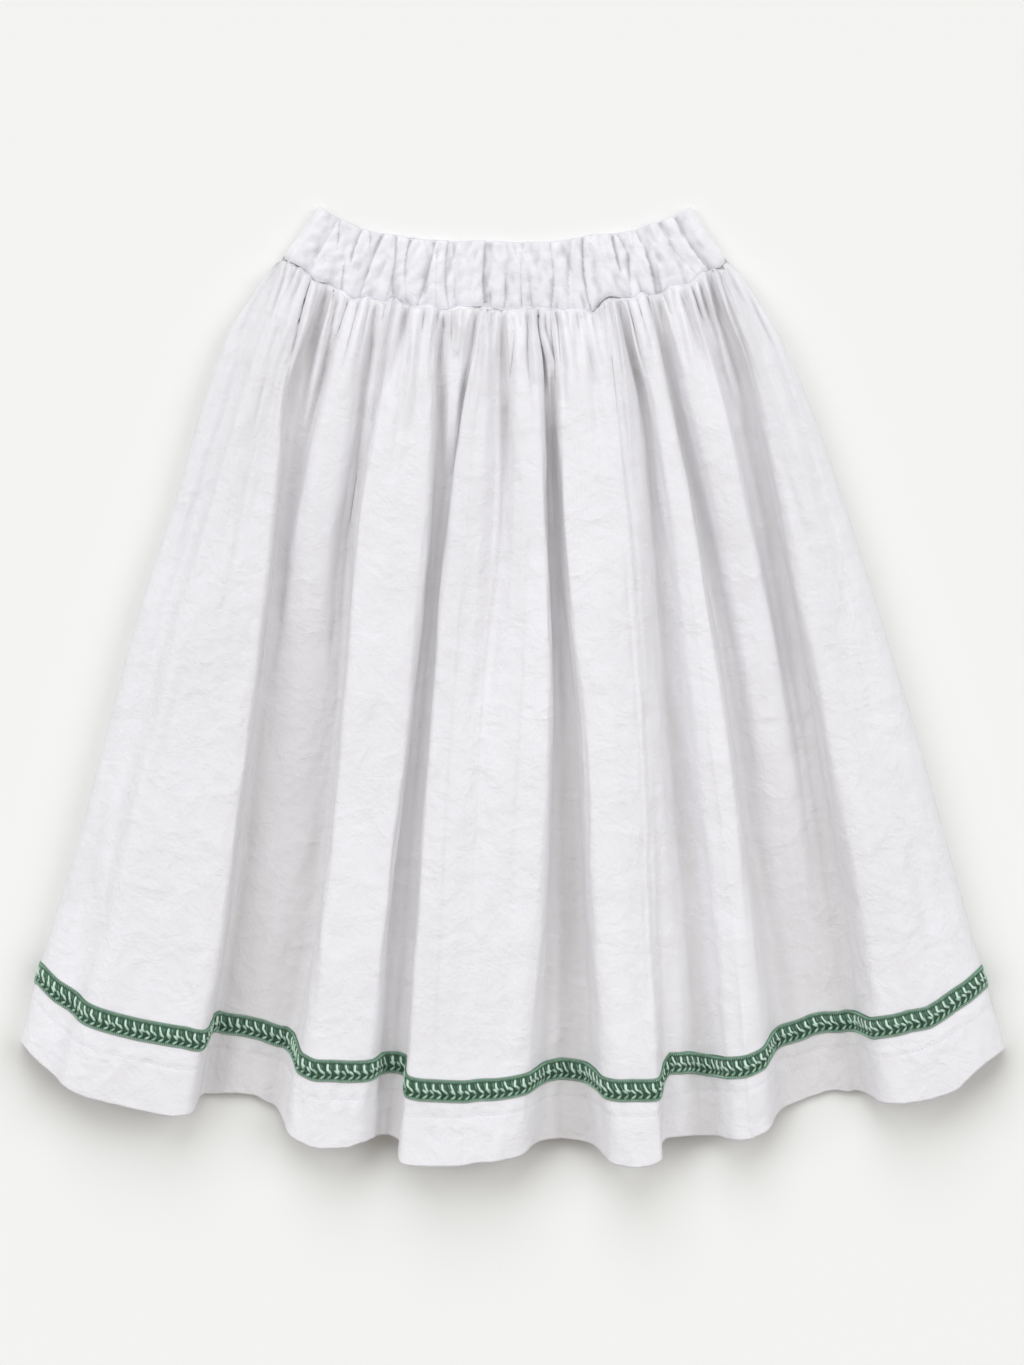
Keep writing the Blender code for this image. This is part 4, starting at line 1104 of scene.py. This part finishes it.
half = STITCH_LENGTH * 500
stitch = thread_shape("stitch", [(
    [(0.1, 0.0, -0.25), (0.5, 0.0, 0.12), (half, 0.0, 0.22), (2 * half - 0.5, 0.0, 0.12),
     (2 * half - 0.1, 0.0, -0.25)],
    STITCH_RADIUS * 1000, 0.5, 5, 0.8,
)])
white_thread = thread_material(
    "white sewing thread", (0.62, 0.61, 0.64, 1.0), (0.78, 0.77, 0.81, 1.0),
    (0.86, 0.85, 0.89, 1.0), 4000.0,
)
hem_sewing = sewing_tree("hem stitching", ["stitch"])
for name, grid, rows in (
    ("hem_stitches_front", front_grid, front_drops), ("hem_stitches_back", back_grid, back_drops)
):
    path = sewn_path(f"{name} path", grid, rows, HEM_STITCHING, HEM_STITCHING - STITCH_UP)
    stitches = sew(name, path, hem_sewing, white_thread, {"stitch": (stitch, STITCH_PITCH)})
    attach(stitches, "root")


# Green braid ------------------------------
# A flat plaited braid of dull green cotton, sewn on all round above the hem. It has a
# corded top edge, a ladder of pale mint bars joined by scallops at their feet, a plait of
# slanting strands below them, and a fuzzy twisted lower edge.
LADDER_PITCH = 0.0216  # three bars
RIBBON_PITCH = 0.0072
PLAIT_PITCH = 0.0116  # two of its chevrons
CORD_PITCH = 0.0017
TWIST_PITCH = 0.0018
# How far it strays from an even line, in millimetres down from it at each angle
BRAID_STRAYS = (
    (-18.5, 0.6), (-17.0, -2.8), (-14.0, -2.4), (-12.3, -4.2), (-11.0, -0.6), (-9.6, -0.4), (-8.9, 1.4),
    (-8.2, 0.4), (-7.5, -1.4), (-6.0, -0.6), (-4.0, -2.0), (-3.0, 1.0), (0, 1.4), (2.0, -1.8), (4.0, 0.6),
    (5.9, 2.0), (6.25, -7.0), (7.1, -3.8), (7.8, 0.7), (8.5, 2.6), (9.2, 3.2), (10.2, 2.2), (12.0, 0.4),
    (13.1, 0), (13.9, 0.6), (14.5, -1.8), (15.7, -2.4), (16.5, 1.0), (18.0, -1.4), (19.2, -1.4),
)
BRAID_DARK = linear(8, 38, 21)
BRAID_MIDDLE = linear(104, 148, 121)
BRAID_LIGHT = linear(212, 237, 221)

# Each kind of thread: how far apart its groups are, and the threads of one group. Along a thread the tint
# is lower where it sinks, which paints shade where it dips under the others.
BRAID_THREADS = {
    "ribbon": (RIBBON_PITCH, [(
        [(0.0, 9.0, 0.2), (2.4, 9.0, 0.2), (4.8, 9.0, 0.2), (7.2, 9.0, 0.2)], 11.6, 0.16, 4, 0.02,
    )]),
    "ladder": (LADDER_PITCH, [
        ([(x - 0.6 * lean, 14.7, 0.5), (x - 0.3 * lean, 13.2, 1.1), (x + 0.2 * lean, 11.4, 1.2),
          (x + 0.9 * lean, 9.9, 1.2), (x + 1.9, 8.7 - drop, 0.9), (x + 3.1, 8.0 - drop, 0.5)],
         (0.75, wide, wide, 1.05 * wide, 0.85, 0.55), (0.7, 0.98, bright, 1.0, 0.85, 0.6), 6, 0.6)
        for x, lean, drop, wide, bright in (
            (0.9, 0.5, 0.0, 0.95, 1.0), (8.3, 1.3, 0.4, 0.80, 0.92), (15.1, 0.1, 0.1, 1.05, 1.0)
        )
    ]),
    "web": (RIBBON_PITCH, [
        ([(x, 14.4, 0.3), (x + lean, 8.8, 0.3)], 0.50, tint_and_shade, 3, 0.8)
        for x, lean, tint_and_shade in ((1.6, 1.6, 0.56), (3.1, 1.1, 0.34), (4.5, 1.5, 0.52), (5.9, 1.2, 0.30))
    ]),
    "plait": (PLAIT_PITCH, [
        strand
        for x, reach, bright in ((0.0, 4.5, 0.86), (5.9, 4.0, 0.72))
        for strand in (
            ([(x, 9.3, 0.4), (x + 0.35 * reach, 8.5, 1.1), (x + 0.72 * reach, 7.2, 1.3),
              (x + reach, 5.7, 0.7)],
             (0.75, 1.10, 1.10, 0.65), (0.55, bright, 0.9 * bright, 0.45), 6, 0.7),
            ([(x + 0.3, 2.2, 0.3), (x + 0.4 * reach, 3.0, 1.0), (x + 0.75 * reach, 4.3, 1.15),
              (x + reach, 5.6, 0.6)],
             (0.70, 1.05, 1.00, 0.60), (0.45, 0.85 * bright, 0.8 * bright, 0.4), 6, 0.7),
        )
    ]),
    "cord": (CORD_PITCH, [(
        [(-0.5, 14.4, 0.15), (-0.1, 15.2, 0.8), (0.3, 16.4, 1.0), (0.8, 17.6, 0.7), (1.1, 18.3, 0.1)],
        (0.38, 0.54, 0.56, 0.54, 0.40), (0.06, 0.34, 0.64, 0.50, 0.15), 5, 1.0,
    )]),
    "twist": (TWIST_PITCH, [(
        [(1.3, -0.2, 0.2), (0.8, 0.7, 0.9), (0.3, 1.7, 0.95), (-0.2, 2.6, 0.25)],
        (0.42, 0.58, 0.56, 0.40), (0.26, 0.74, 0.60, 0.15), 5, 1.0,
    )]),
}
braid_threads = {
    kind: (thread_shape(kind, strands), pitch) for kind, (pitch, strands) in BRAID_THREADS.items()
}
green_cotton = thread_material(
    "green braid cotton", BRAID_DARK, BRAID_MIDDLE, BRAID_LIGHT, 1800.0
)
braiding = sewing_tree("braiding", list(braid_threads))
braid_strays = np.interp(front_angles[-1], *zip(*BRAID_STRAYS)) / 1000 / DROP_LENGTH
for name, cad_node, grid, rows, strays in (
    ("braid_front", "trim_front", front_grid, front_drops, braid_strays),
    ("braid_back", "trim_back", back_grid, back_drops, 0.0),
):
    path = sewn_path(f"{name} path", grid, rows, TRIM_FOOT, TRIM_TOP, strays)
    braid = sew(name, path, braiding, green_cotton, braid_threads)
    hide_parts(cad_node)
    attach(braid, "root")


# Table and light --------------------------
# A plain white table, a large soft light from beyond the waist and a pale room all round.
FLOOR_HALF = 30
DAYLIGHT = (0.950, 0.977, 1.014)
floor_mesh = bpy.data.meshes.new("floor")
corners = [(x * FLOOR_HALF, y * FLOOR_HALF, 0) for x, y in ((-1, -1), (1, -1), (1, 1), (-1, 1))]
floor_mesh.from_pydata(corners, [], [(0, 1, 2, 3)])
table_top = material("white table", {"Base Color": (0.855, 0.862, 0.842, 1.0), "Roughness": 0.9})
floor_mesh.materials.append(table_top[0])
in_scene("floor", floor_mesh)

# Lights, each wide and even: compass direction (0 is beyond the waist, 90 to the right),
# elevation, strength and width in degrees
for name, azimuth, elevation, strength, softness in (
    ("window beyond the waist", -8, 42, 1.32, 46),
    ("left softbox", -75, 44, 1.06, 42),
    ("right softbox", 75, 44, 1.18, 42),
):
    made = bpy.data.lights.new(name, "SUN")
    made.energy, made.color, made.angle = strength, DAYLIGHT, math.radians(softness)
    lamp = in_scene(name, made)
    lamp.rotation_euler = (math.radians(elevation - 90), 0.0, math.radians(-azimuth))
    lamp.location = (0.0, 0.0, 2.0)

room = bpy.data.worlds.new("pale room")
room.use_nodes = True
walls = {"Color": (1.0, 0.908, 0.822, 1.0), "Strength": 0.31}
Wiring(room.node_tree).feed(room.node_tree.nodes["Background"], walls)
bpy.context.scene.world = room
bpy.context.scene.view_settings.view_transform = "Standard"

# Camera: straight above, 3 m up, the whole skirt with a margin round it
CAMERA_HEIGHT = 3.0
SHOWN_HEIGHT = 1.133  # of the table, from the picture's foot to its top
lens = bpy.data.cameras.new("camera")
lens.sensor_width = 36.0
lens.lens = lens.sensor_width * CAMERA_HEIGHT / SHOWN_HEIGHT
camera = in_scene("camera", lens)
camera.location = (0.0, 0.0037, CAMERA_HEIGHT)
bpy.context.scene.camera = camera
